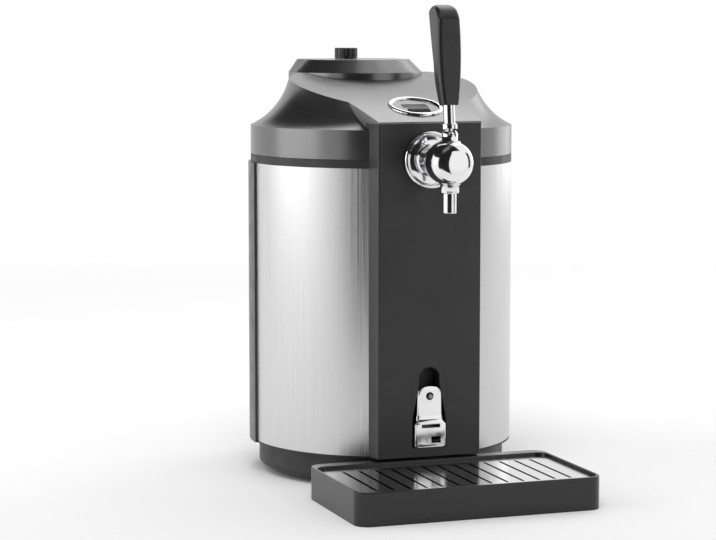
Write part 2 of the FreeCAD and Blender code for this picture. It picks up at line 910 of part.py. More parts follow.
def panel_plan(inset, back=0):
    """The front panel's plan, whose sides splay towards the cabinet, set in by a distance."""
    front = PANEL_FACE + inset
    rear = PANEL_BACK + back
    front_x = HALF_PANEL - inset + SPLAY * (front - PANEL_FACE)
    rear_x = HALF_PANEL - inset + SPLAY * (rear - PANEL_FACE)
    return [(-front_x, front), (front_x, front), (rear_x, rear), (-rear_x, rear)]


# ---------------------------------------------------------------- cabinet

def rubber_feet():
    feet = []
    for corner in range(4):
        angle = 45 + 90 * corner
        x = FOOT_CIRCLE * cosine(angle)
        y = FOOT_CIRCLE * sine(angle)
        feet.append(cylinder("foot", dim.foot_radius, dim.foot_height, x, y, 0))
    return group("rubber_feet", feet)


def base_pan():
    piece = body("base_pan")
    rim_bottom = dim.plinth_top - dim.rim_height
    inside = PLINTH_RADIUS - dim.plinth_wall
    low_edge = dim.foot_height + dim.plinth_round
    profile = [
        (0, dim.foot_height),
        (PLINTH_RADIUS - dim.plinth_round, dim.foot_height),
        (PLINTH_RADIUS, low_edge, dim.plinth_round),
        (PLINTH_RADIUS, rim_bottom),
        (STEEL_RADIUS, rim_bottom),
        (STEEL_RADIUS, dim.plinth_top),
        (inside, dim.plinth_top),
        (inside, PLINTH_FLOOR),
        (0, PLINTH_FLOOR),
    ]
    revolve(piece, sketch(piece, "XZ", corners=profile))
    return piece


def steel_side(name, low_x, high_x):
    """One of the two curved sheets between the front panel and the rear cover."""
    bottom, top = dim.plinth_top, STEEL_TOP
    outer = cylinder(name + "_outer", STEEL_RADIUS, top - bottom, z=bottom)
    inner = cylinder(name + "_inner", STEEL_RADIUS - dim.steel_sheet, top - bottom + 2 * OVERRUN,
                     z=bottom - OVERRUN)
    quarter = block(name + "_quarter", (low_x, -BEYOND_STEEL, bottom), (high_x, 0, top))
    panel = prism(name + "_panel", "XY", panel_plan(0), bottom - OVERRUN, top + OVERRUN)
    return cut(name, common(name + "_sheet", outer, quarter), inner, panel)


def top_collar():
    piece = body("top_collar")
    plate_top = STEEL_TOP + dim.collar_plate
    profile = [
        (WELL_RADIUS, STEEL_TOP),
        (STEEL_RADIUS, STEEL_TOP),
        (STEEL_RADIUS, COLLAR_TOP),
        (STEEL_RADIUS - dim.collar_wall, COLLAR_TOP),
        (STEEL_RADIUS - dim.collar_wall, plate_top),
        (LAND_RADIUS, plate_top),
        (LAND_RADIUS, LAND_TOP),
        (WELL_RADIUS, LAND_TOP),
    ]
    revolve(piece, sketch(piece, "XZ", corners=profile))
    half_notch = dim.tail_radius + dim.hose_gap
    notch = rectangle(-half_notch, half_notch, -BEYOND_STEEL, dim.notch_end - WELL_RADIUS)
    pocket(piece, sketch(piece, "XY", COLLAR_TOP, notch), dim.collar_height - dim.collar_plate)
    pocket(piece, sketch(piece, "XY", COLLAR_TOP, panel_plan(0)), dim.collar_height)
    return piece


def keg_well():
    """A drawn aluminium cup with a turned-out flange under the collar."""
    piece = body("keg_well")
    under = WELL_BOTTOM - dim.well_wall
    outer_corner = dim.well_corner + dim.well_wall
    flange_under = STEEL_TOP - dim.well_wall
    profile = [
        (0, under),
        (WELL_RADIUS - dim.well_corner, under),
        (WELL_OUTER, under + outer_corner, outer_corner),
        (WELL_OUTER, flange_under),
        (WELL_OUTER + dim.well_flange, flange_under),
        (WELL_OUTER + dim.well_flange, STEEL_TOP),
        (WELL_RADIUS, STEEL_TOP),
        (WELL_RADIUS, WELL_BOTTOM + dim.well_corner),
        (WELL_RADIUS - dim.well_corner, WELL_BOTTOM, -dim.well_corner),
        (0, WELL_BOTTOM),
    ]
    revolve(piece, sketch(piece, "XZ", corners=profile))
    return piece


def well_foam():
    """Foam round and under the well, cut flat for the front panel and the cooling unit."""
    piece = body("well_foam")
    narrow = PLINTH_RADIUS - dim.plinth_wall
    under = WELL_BOTTOM - dim.well_wall
    outer_corner = dim.well_corner + dim.well_wall
    top = STEEL_TOP - dim.well_wall
    profile = [
        (0, PLINTH_FLOOR),
        (narrow, PLINTH_FLOOR),
        (narrow, dim.plinth_top),
        (FOAM_RADIUS, dim.plinth_top),
        (FOAM_RADIUS, top),
        (WELL_OUTER, top),
        (WELL_OUTER, under + outer_corner),
        (WELL_RADIUS - dim.well_corner, under, -outer_corner),
        (0, under),
    ]
    revolve(piece, sketch(piece, "XZ", corners=profile))
    pocket(piece, sketch(piece, "XY", top, panel_plan(0)), top - dim.plinth_top)
    behind = rectangle(-HALF_HOUSING, HALF_HOUSING, SINK_FRONT, FOAM_RADIUS + OVERRUN)
    pocket(piece, sketch(piece, "XY", top, behind), top - HOUSING_BOTTOM)
    half_cell = dim.cell_size / 2
    window = rectangle(-half_cell, half_cell, FAN_HEIGHT - half_cell, FAN_HEIGHT + half_cell)
    slot_top = dim.sensor_length / 2 + dim.sensor_gap
    sensor = rectangle(half_cell, half_cell + dim.sensor_slot, FAN_HEIGHT - slot_top, FAN_HEIGHT + slot_top)
    reach = half_cell + dim.sensor_slot
    depth = SINK_FRONT - root(WELL_RADIUS * WELL_RADIUS - reach * reach)
    for opening in (window, sensor):
        pocket(piece, sketch(piece, "XZ", -SINK_FRONT, opening), depth, reverse=True)
    return piece


def front_panel():
    """The flat front moulding: a splayed shell with the tap hole and the opener's niche."""
    piece = body("front_panel")
    height = PANEL_TOP - dim.plinth_top
    pad(piece, sketch(piece, "XY", dim.plinth_top, panel_plan(0)), height)
    front = number(PANEL_FACE)
    dress(piece, "Fillet", dim.panel_round, lambda edge: upright(edge) and near(edge.BoundBox.YMin, front))
    hollow = sketch(piece, "XY", PANEL_TOP - dim.panel_wall, panel_plan(dim.panel_wall, OVERRUN))
    pocket(piece, hollow, height - 2 * dim.panel_wall)
    tub_radius = dim.niche_radius + dim.niche_wall
    tub_bottom = NICHE_BOTTOM - dim.niche_wall
    tub = arch(tub_radius, tub_bottom, NICHE_TOP + dim.niche_wall)
    tub_depth = dim.niche_depth + dim.niche_wall - dim.panel_wall / 2
    pad(piece, sketch(piece, "XZ", PANEL_REACH - dim.panel_wall / 2, tub), tub_depth, reverse=True)
    niche = arch(dim.niche_radius, NICHE_BOTTOM, NICHE_TOP)
    pocket(piece, sketch(piece, "XZ", PANEL_REACH, niche), dim.niche_depth)
    tap_hole = sketch(piece, "XZ", PANEL_REACH, circles=[(0, TAP_HEIGHT, dim.shank_radius)])
    pocket(piece, tap_hole, dim.panel_wall + OVERRUN)
    screw_hole = sketch(piece, "XZ", PANEL_REACH, circles=[(0, OPENER_SCREW, dim.screw_radius)])
    pocket(piece, screw_hole, dim.niche_depth + dim.niche_wall + OVERRUN)
    return piece


def rear_cover():
    """The half-round back with its square housing, fan grille and connector openings."""
    piece = body("rear_cover")
    inside = COVER_RADIUS - dim.cover_wall
    bottom = dim.plinth_top - dim.rim_height
    wall = rectangle(STEEL_RADIUS, COVER_RADIUS, bottom, STEEL_TOP)
    revolve(piece, sketch(piece, "XZ", corners=wall), 180)
    start = root(inside * inside - HALF_HOUSING * HALF_HOUSING)
    plan = rectangle(-HALF_HOUSING, HALF_HOUSING, start, HOUSING_REACH)
    height = STEEL_TOP - HOUSING_BOTTOM
    pad(piece, sketch(piece, "XY", HOUSING_BOTTOM, plan), height)
    back = number(HOUSING_REACH)
    dress(piece, "Fillet", dim.housing_round, lambda edge: upright(edge) and near(edge.BoundBox.YMin, back))
    half_room = HALF_HOUSING - dim.cover_wall
    room = rounded(-half_room, half_room, 0, HOUSING_REACH - dim.cover_wall,
                   dim.housing_round - dim.cover_wall)
    hollow = sketch(piece, "XY", STEEL_TOP - dim.cover_wall, room)
    pocket(piece, hollow, height - 2 * dim.cover_wall)
    ledge = rectangle(-HALF_HOUSING + dim.housing_round, HALF_HOUSING - dim.housing_round,
                      STEEL_RADIUS, HOUSING_REACH)
    pad(piece, sketch(piece, "XY", STEEL_TOP, ledge), dim.collar_height)
    for start in (KNUCKLE_END + dim.lid_gap, -KNUCKLE_END - dim.lid_gap - dim.knuckle_length):
        knuckle = arch(dim.hinge_barrel, COLLAR_TOP, HINGE_HEIGHT + dim.hinge_barrel, HINGE_REACH)
        pad(piece, sketch(piece, "YZ", start, knuckle), dim.knuckle_length)
        bore = sketch(piece, "YZ", start, circles=[(HINGE_REACH, HINGE_HEIGHT, dim.hinge_pin)])
        pocket(piece, bore, dim.knuckle_length, reverse=True)
    outside = -HOUSING_REACH - OVERRUN
    half_slot = dim.slot_width / 2
    slots = []
    rows = int(dim.grille_rows.value)
    for step in range(-rows, rows + 1):
        middle = FAN_HEIGHT + step * dim.slot_pitch
        offset = abs(step) * dim.slot_pitch
        half_width = root(dim.fan_bore * dim.fan_bore - offset * offset)
        slots.append(rectangle(-half_width, half_width, middle - half_slot, middle + half_slot))
    for step in range(int(dim.vent_rows.value)):
        middle = STEEL_TOP - dim.vent_drop - step * dim.slot_pitch
        slots.append(rectangle(-dim.fan_bore, dim.fan_bore, middle - half_slot, middle + half_slot))
    depth = dim.cover_wall + 2 * OVERRUN
    pocket(piece, sketch(piece, "XZ", outside, slots[0], more=slots[1:]), depth, reverse=True)
    back_wall = -HOUSING_REACH + dim.cover_wall
    screws = cover_screw_places()
    bosses = sketch(piece, "XZ", back_wall, circles=[(x, z, dim.boss_radius) for x, z in screws])
    pad(piece, bosses, dim.cover_boss)
    pilots = sketch(piece, "XZ", outside, circles=[(x, z, dim.screw_radius) for x, z in screws])
    pocket(piece, pilots, dim.cover_boss + depth, reverse=True)
    heads = sketch(piece, "XZ", outside, circles=[(x, z, dim.screw_radius * 2) for x, z in screws])
    pocket(piece, heads, dim.head_sink + OVERRUN, reverse=True)
    inlet = connector_hole(-dim.inlet_offset)
    switch = connector_hole(dim.inlet_offset)
    pocket(piece, sketch(piece, "XZ", outside, inlet, more=[switch]), depth, reverse=True)
    return piece


# ---------------------------------------------------------------- cooling unit

def cold_block():
    """Aluminium block between the well's back and the thermoelectric cell."""
    half_cell = dim.cell_size / 2
    front = root(WELL_RADIUS * WELL_RADIUS - half_cell * half_cell)
    blank = block("cold_block_blank", (-half_cell, front, FAN_HEIGHT - half_cell),
                  (half_cell, SINK_FRONT - dim.cell_depth, FAN_HEIGHT + half_cell))
    well = cylinder("cold_block_well", WELL_OUTER, STEEL_TOP)
    return cut("cold_block", blank, well)


def thermoelectric_cell():
    half_cell = dim.cell_size / 2
    return block("thermoelectric_cell",
                 (-half_cell, SINK_FRONT - dim.cell_depth, FAN_HEIGHT - half_cell),
                 (half_cell, SINK_FRONT, FAN_HEIGHT + half_cell))


def heat_sink():
    """A plate with a row of upright fins, with channels through them for the fan's screws."""
    piece = body("heat_sink")
    half_width = dim.sink_width / 2
    half_height = dim.sink_height / 2
    plate = rectangle(-half_width, half_width, FAN_HEIGHT - half_height, FAN_HEIGHT + half_height)
    pad(piece, sketch(piece, "XZ", -SINK_FRONT, plate), dim.sink_base, reverse=True)
    fin = rectangle(-half_width, -half_width + dim.fin_sheet,
                    FAN_HEIGHT - half_height, FAN_HEIGHT + half_height)
    profile = sketch(piece, "XZ", -SINK_FRONT - dim.sink_base, fin)
    first = pad(piece, profile, dim.fin_depth, reverse=True)
    row(piece, first, profile, "H_Axis", dim.sink_width - dim.fin_sheet, dim.fin_count.value)
    screws = fan_screw_offsets()
    holes = [(x, FAN_HEIGHT + z, dim.fan_screw) for x, z in screws]
    pocket(piece, sketch(piece, "XZ", -SINK_FRONT, circles=holes), dim.sink_base)
    channels = [(x, FAN_HEIGHT + z, dim.fan_screw + dim.channel_gap) for x, z in screws]
    pocket(piece, sketch(piece, "XZ", -SINK_BACK, circles=channels), dim.fin_depth + dim.channel_sunk,
           reverse=True)
    return piece


def fan_screw_offsets():
    """The (x, z) of the fan's four screws about its axis."""
    offset = dim.fan_holes / 2
    return [(x, z) for x in (-offset, offset) for z in (-offset, offset)]


def rear_frame():
    """A plate foamed in behind the well: a window for the heat sink and posts for the cover's screws."""
    piece = body("rear_frame")
    inset = dim.cover_wall + dim.frame_gap
    outer = rectangle(inset - HALF_HOUSING, HALF_HOUSING - inset, HOUSING_BOTTOM + inset, STEEL_TOP - inset)
    half_width = dim.sink_width / 2 + dim.frame_gap
    half_height = dim.sink_height / 2 + dim.frame_gap
    window = rectangle(-half_width, half_width, FAN_HEIGHT - half_height, FAN_HEIGHT + half_height)
    sheet = sketch(piece, "XZ", -SINK_FRONT, outer, more=[window])
    pad(piece, sheet, dim.frame_sheet, reverse=True)
    screws = cover_screw_places()
    posts = sketch(piece, "XZ", -SINK_FRONT, circles=[(x, z, dim.frame_post) for x, z in screws])
    pad(piece, posts, POST_BACK - SINK_FRONT, reverse=True)
    holes = [(x, z, dim.screw_radius) for x, z in screws]
    pilots = sketch(piece, "XZ", -SINK_FRONT - dim.frame_floor, circles=holes)
    pocket(piece, pilots, POST_BACK - SINK_FRONT)
    return piece


def fan_frame():
    """A square fan frame with its bore, four struts and the hub that carries the motor."""
    piece = body("fan_frame")
    half = dim.fan_size / 2
    front = SINK_BACK
    middle = FAN_HEIGHT
    square = rounded(-half, half, middle - half, middle + half, dim.fan_corner)
    pad(piece, sketch(piece, "XZ", -front, square), dim.fan_depth, reverse=True)
    bore = sketch(piece, "XZ", -front, circles=[(0, middle, dim.fan_bore)])
    pocket(piece, bore, dim.fan_depth)
    back = front + dim.fan_depth
    reach = dim.fan_bore + OVERRUN
    thin = dim.strut_half
    struts = [
        rectangle(-reach, reach, middle - thin, middle + thin),
        rectangle(-thin, thin, middle - reach, middle + reach),
    ]
    for strut in struts:
        pad(piece, sketch(piece, "XZ", -back, strut), dim.strut_depth)
    hub = sketch(piece, "XZ", -back, circles=[(0, middle, dim.fan_hub)])
    pad(piece, hub, dim.strut_depth)
    tube = sketch(piece, "XZ", -back, circles=[(0, middle, dim.bearing_radius)])
    pad(piece, tube, dim.fan_depth - dim.bearing_short)
    bearing = sketch(piece, "XZ", -back - OVERRUN, circles=[(0, middle, dim.fan_shaft + dim.pin_gap)])
    pocket(piece, bearing, dim.fan_depth + 2 * OVERRUN, reverse=True)
    holes = [(x, middle + z, dim.fan_hole) for x, z in fan_screw_offsets()]
    pocket(piece, sketch(piece, "XZ", -front, circles=holes), dim.fan_depth)
    return piece


def fan_rotor():
    """A cup-shaped hub on a shaft with a ring of pitched, hollow-faced blades."""
    piece = body("fan_rotor")
    front = SINK_BACK + dim.rotor_gap
    depth = dim.fan_depth - dim.rotor_short
    hub = sketch(piece, "XZ", 0, circles=[(0, 0, dim.fan_hub)])
    pad(piece, hub, depth, reverse=True)
    room = sketch(piece, "XZ", -dim.hub_wall, circles=[(0, 0, dim.fan_hub - dim.hub_wall)])
    pocket(piece, room, depth)
    shaft = sketch(piece, "XZ", 0, circles=[(0, 0, dim.fan_shaft)])
    pad(piece, shaft, dim.fan_depth - dim.shaft_short, reverse=True)
    tip = dim.fan_bore - dim.blade_gap
    low = dim.fan_hub - dim.blade_root
    sections = []
    for radius, pitch in ((low, dim.blade_pitch + dim.root_twist), (tip, dim.blade_pitch - dim.tip_twist)):
        sections.append(sketch(piece, "YZ", radius, blade_section(depth, pitch)))
    blade = piece.newObject("PartDesign::AdditiveLoft", "fan_rotor_blade")
    blade.Profile = sections[0]
    blade.Sections = [sections[1]]
    blade.Ruled = True
    circle_of(piece, [blade], hub, "N_Axis", dim.fan_blades.value)
    rim = sketch(piece, "XZ", OVERRUN, circles=[(0, 0, dim.fan_bore), (0, 0, tip)])
    pocket(piece, rim, depth + 4 * OVERRUN)
    place(piece, 0, front, FAN_HEIGHT)
    return piece


def blade_section(depth, pitch):
    """A blade's crescent section, as deep as the hub and leaning by its pitch from the shaft."""
    near_edge = dim.blade_margin
    far_edge = depth - dim.blade_margin
    lean = (far_edge - near_edge) / 2 * tangent(pitch)
    thick = dim.blade_thick
    return [
        (near_edge, -lean), (far_edge, lean, dim.blade_bow),
        (far_edge, lean + thick), (near_edge, thick - lean, -dim.blade_bow),
    ]


def temperature_sensor():
    angle = dim.sensor_angle
    reach = WELL_OUTER + dim.sensor_radius
    return cylinder("temperature_sensor", dim.sensor_radius, dim.sensor_length,
                    reach * cosine(angle), reach * sine(angle), FAN_HEIGHT - dim.sensor_length / 2)


def circuit_board(name, width, height, bottom, parts):
    """A board against the foam with its larger parts soldered on."""
    half = width / 2
    face = FRAME_BACK + dim.board_sheet
    board = block(name + "_sheet", (-half, FRAME_BACK, bottom), (half, face, bottom + height))
    solids = [board]
    for x, z, wide, tall, deep in parts:
        low = (x - wide / 2, face, bottom + z - tall / 2)
        high = (x + wide / 2, face + deep, bottom + z + tall / 2)
        solids.append(block(name + "_part", low, high))
    return fuse(name, *solids)


# what is soldered on: the middle's x and its height on the board, then width, height and depth
POWER_PARTS = [(-26, 40, 22, 26, 18), (4, 44, 30, 24, 16), (30, 44, 14, 14, 12), (30, 18, 16, 10, 8)]
CONTROL_PARTS = [(-14, 24, 14, 14, 3), (12, 28, 10, 8, 6), (12, 12, 18, 7, 9)]


def power_board():
    return circuit_board("power_board", dim.board_width, dim.board_height, BOARD_BOTTOM, POWER_PARTS)


def control_board():
    return circuit_board("control_board", dim.control_width, dim.control_height, CONTROL_BOTTOM,
                         CONTROL_PARTS)


def power_inlet():
    """A two-pin socket for a lead, pushed through the cover from outside."""
    x = -dim.inlet_offset
    half_width = dim.inlet_width / 2
    half_height = dim.inlet_tall / 2
    back = HOUSING_REACH
    shell = block("power_inlet_shell",
                  (x - half_width, back - dim.inlet_depth, INLET_HEIGHT - half_height),
                  (x + half_width, back, INLET_HEIGHT + half_height))
    inside = back - dim.inlet_depth + dim.inlet_wall
    mouth = dim.inlet_mouth
    waist = block("power_inlet_waist", (x - mouth, inside, INLET_HEIGHT - dim.inlet_waist),
                  (x + mouth, back + OVERRUN, INLET_HEIGHT + dim.inlet_waist))
    rooms = [waist]
    pins = []
    for middle in (x - mouth, x + mouth):
        rooms.append(cylinder("power_inlet_mouth", mouth, dim.inlet_depth, middle, inside, INLET_HEIGHT, "y"))
        pins.append(cylinder("power_inlet_pin", dim.inlet_pin, dim.inlet_depth - dim.inlet_pin_short,
                             middle, inside - dim.inlet_wall / 2, INLET_HEIGHT, "y"))
    socket = cut("power_inlet_socket", shell, *rooms)
    return fuse("power_inlet", socket, *pins)


def power_switch():
    """The rocker's frame, open to the back."""
    x = dim.inlet_offset
    half_width = dim.inlet_width / 2
    half_height = dim.inlet_tall / 2
    back = HOUSING_REACH
    shell = block("power_switch_shell",
                  (x - half_width, back - dim.inlet_depth, INLET_HEIGHT - half_height),
                  (x + half_width, back, INLET_HEIGHT + half_height))
    wall = dim.switch_wall
    room = block("power_switch_room",
                 (x - half_width + wall, back - dim.inlet_depth + wall, INLET_HEIGHT - half_height + wall),
                 (x + half_width - wall, back + OVERRUN, INLET_HEIGHT + half_height - wall))
    pin = cylinder("power_switch_pin", dim.rocker_pin, dim.inlet_width - 2 * dim.pin_seat,
                   x - half_width + dim.pin_seat, back - dim.rocker_sink, INLET_HEIGHT, "x")
    return fuse("power_switch", cut("power_switch_frame", shell, room), pin)


def switch_rocker():
    """The rocker, drawn with its lower half pressed in, turning on the frame's cross pin."""
    piece = body("switch_rocker")
    x = dim.inlet_offset
    half_width = dim.inlet_width / 2 - dim.switch_wall - dim.rocker_gap
    reach = dim.inlet_tall / 2 - dim.switch_wall - dim.rocker_play
    crown = dim.rocker_sink - 0.2
    dip = reach * sine(dim.rocker_tilt)
    back = -dim.rocker_back
    side = [
        (back + 0.5, -reach * 0.55), (crown - dip - dim.rocker_gap, -reach), (crown - dim.rocker_hollow, 0),
        (crown, reach * 0.92), (-2, reach * 0.7), (back, 1.5), (back, -1.5),
    ]
    pad(piece, sketch(piece, "YZ", -half_width, side), half_width * 2)
    hole = sketch(piece, "YZ", -half_width - OVERRUN, circles=[(0, 0, dim.rocker_pin + dim.pin_gap)])
    pocket(piece, hole, (half_width + OVERRUN) * 2, reverse=True)
    place(piece, x, HOUSING_REACH - dim.rocker_sink, INLET_HEIGHT)
    return piece


# ---------------------------------------------------------------- tap

def tap_washer():
    outer = cylinder("tap_washer_disc", dim.flange_radius - dim.washer_inset, dim.washer_sheet,
                     0, PANEL_FACE, TAP_HEIGHT, "-y")
    hole = cylinder("tap_washer_hole", dim.shank_radius, dim.washer_sheet + 2 * OVERRUN,
                    0, PANEL_FACE + OVERRUN, TAP_HEIGHT, "-y")
    return cut("tap_washer", outer, hole)


def tap_flange():
    """The polished wall flange: a raised rim, a hollow and a centre boss."""
    rim, bead, edge = dim.flange_radius, dim.flange_bead, dim.flange_edge
    profile = [
        (dim.shank_radius, 0), (rim, 0), (rim, edge), (rim - bead, edge + bead, bead),
        (rim - 2 * bead, 2 * edge), (dim.flange_boss + edge, dim.flange_depth - edge, dim.flange_bow),
        (dim.flange_boss, dim.flange_depth), (dim.shank_radius, dim.flange_depth),
    ]
    return turned("tap_flange", profile, 0, PANEL_FACE - dim.washer_sheet, TAP_HEIGHT, "-y")


def tap_shank():
    """The threaded tube through the panel, with a smooth hose tail inside."""
    length = PANEL_INSIDE + dim.nut_depth - BARREL_BACK
    tail = length + dim.tail_length
    profile = [
        (dim.shank_bore / 2, 0), (dim.shank_radius, 0), (dim.shank_radius, length),
        (dim.tail_radius, length), (dim.tail_radius, tail - 1), (dim.tail_radius - dim.tail_bevel, tail),
        (dim.shank_bore / 2, tail),
    ]
    return turned("tap_shank", profile, 0, BARREL_BACK, TAP_HEIGHT, "y")


def tap_nut():
    blank = hexagon("tap_nut_blank", dim.nut_size, dim.nut_depth, 0, PANEL_INSIDE, TAP_HEIGHT, "y")
    hole = cylinder("tap_nut_hole", dim.shank_radius, dim.nut_depth + 2 * OVERRUN,
                    0, PANEL_INSIDE - OVERRUN, TAP_HEIGHT, "y")
    return cut("tap_nut", blank, hole)


def tap_coupling():
    """The round coupling nut that holds the tap's barrel on the shank."""
    outer, length, edge = dim.coupling_radius, dim.coupling_depth, dim.coupling_round
    profile = [
        (dim.shank_radius, 0), (outer - edge, 0), (outer, edge, edge), (outer, length - edge),
        (outer - edge, length, edge), (dim.shank_radius, length),
    ]
    return turned("tap_coupling", profile, 0, BARREL_BACK, TAP_HEIGHT, "y")


def trunnion_hole(name):
    """The bearing of the lever's cross pin, half in the tap's body and half in its bonnet."""
    reach = dim.trunnion_reach + dim.pin_gap
    return cylinder(name, dim.trunnion_radius + dim.pin_gap, reach * 2, -reach, TAP_AXIS, BALL_HEIGHT, "x")


def tap_body():
    """The barrel, bored from the back, with the spout boss below and the lever's neck above."""
    rim = dim.barrel_radius
    length = dim.barrel_length
    dome, edge = dim.barrel_dome, dim.barrel_round
    barrel = turned("tap_body_barrel", [
        (0, 0), (rim - dome, 0), (rim, dome, dome), (rim, length - edge), (rim - edge, length, edge),
        (0, length),
    ], 0, BARREL_FRONT, TAP_HEIGHT, "y")
    collar_height = rim + dim.collar_drop
    collar_foot = TAP_HEIGHT - collar_height
    outer, edge = dim.collar_radius, dim.collar_round
    collar = turned("tap_body_collar", [
        (0, 0), (outer - edge, 0), (outer, edge, edge), (outer, collar_height), (0, collar_height),
    ], 0, TAP_AXIS, collar_foot)
    neck = cylinder("tap_body_neck", dim.bonnet_radius, BALL_HEIGHT - TAP_HEIGHT, 0, TAP_AXIS, TAP_HEIGHT)
    solid = fuse("tap_body_solid", barrel, collar, neck)
    bore = cylinder("tap_body_bore", dim.barrel_bore, length,
                    0, BARREL_FRONT + dim.barrel_wall, TAP_HEIGHT, "y")
    spout_top = TAP_HEIGHT - dim.spout_lap
    spout = cylinder("tap_body_spout", dim.spout_radius, spout_top - collar_foot + OVERRUN,
                     0, TAP_AXIS, collar_foot - OVERRUN)
    outlet = cylinder("tap_body_outlet", dim.spout_bore, dim.spout_lap, 0, TAP_AXIS, spout_top)
    socket = sphere("tap_body_socket", dim.neck_bore, 0, TAP_AXIS, BALL_HEIGHT)
    journal = trunnion_hole("tap_body_journal")
    throat = block("tap_body_throat", (-dim.throat_half, TAP_AXIS - dim.throat_half, TAP_HEIGHT),
                   (dim.throat_half, TAP_AXIS + dim.throat_back, BALL_HEIGHT - dim.stub_gap))
    return cut("tap_body", solid, bore, spout, outlet, socket, journal, throat)


def tap_spout():
    length = TAP_HEIGHT - dim.spout_lap - SPOUT_TIP
    outer, inner, edge = dim.spout_radius, dim.spout_bore, dim.spout_round
    profile = [
        (inner, 0), (outer - edge, 0), (outer, edge, edge), (outer, length), (inner, length),
    ]
    return turned("tap_spout", profile, 0, TAP_AXIS, SPOUT_TIP)


def tap_bonnet():
    """The dome that keeps the lever's ball in its socket, slotted for the lever's travel."""
    outer = dim.bonnet_radius
    inner = dim.neck_bore
    dome = turned("tap_bonnet_dome", [
        (0, 0), (outer, 0), (outer - dim.bonnet_edge, dim.bonnet_rise, dim.bonnet_bow), (0, outer, outer),
    ], 0, TAP_AXIS, BALL_HEIGHT)
    room = sphere("tap_bonnet_room", inner, 0, TAP_AXIS, BALL_HEIGHT)
    half_slot = dim.lever_neck + dim.bonnet_slot
    slot = block("tap_bonnet_slot", (-half_slot, TAP_AXIS - outer - OVERRUN, BALL_HEIGHT + dim.bonnet_floor),
                 (half_slot, TAP_AXIS + dim.lever_neck + dim.bonnet_back, BALL_HEIGHT + outer + OVERRUN))
    return cut("tap_bonnet", dome, room, slot, trunnion_hole("tap_bonnet_journal"))


def tap_plunger():
    """The sliding valve: a slotted piston that the lever's stub moves, with its seal groove."""
    length, start, deep = dim.plunger_length, dim.seal_start, dim.seal_depth
    radius = dim.barrel_bore - dim.pin_gap
    profile = [
        (0, 0), (radius, 0), (radius, start), (radius - deep, start), (radius - deep, start + deep),
        (radius, start + deep), (radius, length), (0, length),
    ]
    piston = turned("tap_plunger_piston", profile, 0, TAP_AXIS - dim.plunger_lead, TAP_HEIGHT, "y")
    slot = block("tap_plunger_slot", (-dim.slot_side, TAP_AXIS - dim.slot_front, TAP_HEIGHT - dim.slot_floor),
                 (dim.slot_side, TAP_AXIS + dim.slot_back, TAP_HEIGHT + radius + OVERRUN))
    return cut("tap_plunger", piston, slot)


def tap_seal():
    outer = dim.barrel_bore - dim.pin_gap - dim.seal_gap
    inner = dim.barrel_bore - dim.pin_gap - dim.seal_depth
    low, high = dim.seal_gap, dim.seal_depth - dim.seal_gap
    start = TAP_AXIS - dim.plunger_lead + dim.seal_start
    return turned("tap_seal", [(inner, low), (outer, low), (outer, high), (inner, high)],
                  0, start, TAP_HEIGHT, "y")


def tap_lever():
    """Ball with its cross pin, stub, neck, skirted collar and rod, standing on the ball's centre."""
    ball = sphere("tap_lever_ball", dim.ball_radius)
    trunnions = cylinder("tap_lever_trunnions", dim.trunnion_radius, dim.trunnion_reach * 2,
                         -dim.trunnion_reach, 0, 0, "x")
    stub_reach = BALL_HEIGHT - TAP_HEIGHT - dim.stub_gap
    stub = cylinder("tap_lever_stub", dim.stub_radius, stub_reach, 0, 0, 0, "-z")
    lean = Rotation(Vector(1, 0, 0), -number(dim.handle_lean))
    neck = cylinder("tap_lever_neck", dim.lever_neck, dim.neck_length)
    low, high = dim.skirt_bottom, dim.skirt_crest
    outer = dim.rod_radius + dim.skirt_flare
    skirt = turned("tap_lever_collar", [
        (0, low + dim.skirt_hollow), (dim.skirt_inner, low), (outer, low), (outer, high - 1),
        (outer - 1, high, 1), (0, high),
    ])
    rod_bottom = high - dim.skirt_flare
    rod_top = HANDLE_BOTTOM - BALL_HEIGHT
    thread_top = rod_top + dim.insert_length + dim.thread_beyond
    thread = dim.thread_radius
    rod = turned("tap_lever_rod", [
        (0, rod_bottom), (dim.rod_radius, rod_bottom), (dim.rod_radius, rod_top), (thread, rod_top),
        (thread, thread_top), (0, thread_top),
    ])
    for part in (neck, skirt, rod):
        part.Placement = Placement(Vector(), lean)
    item = fuse("tap_lever", ball, trunnions, stub, neck, skirt, rod)
    return place(item, 0, TAP_AXIS, BALL_HEIGHT)


def handle_insert():
    """The threaded brass bush moulded into the handle."""
    bore, outer, length = dim.thread_radius, dim.insert_radius, dim.insert_length
    gap = dim.insert_gap
    item = turned("handle_insert", [(bore, gap), (outer, gap), (outer, length), (bore, length)])
    return on_lever(item)


def on_lever(item):
    """Sets a piece drawn about the handle's foot on the leaning rod."""
    lean = Rotation(Vector(1, 0, 0), -number(dim.handle_lean))
    rise = HANDLE_BOTTOM - BALL_HEIGHT
    return place(item, 0, TAP_AXIS + rise * sine(dim.handle_lean),
                 BALL_HEIGHT + rise * cosine(dim.handle_lean), lean)


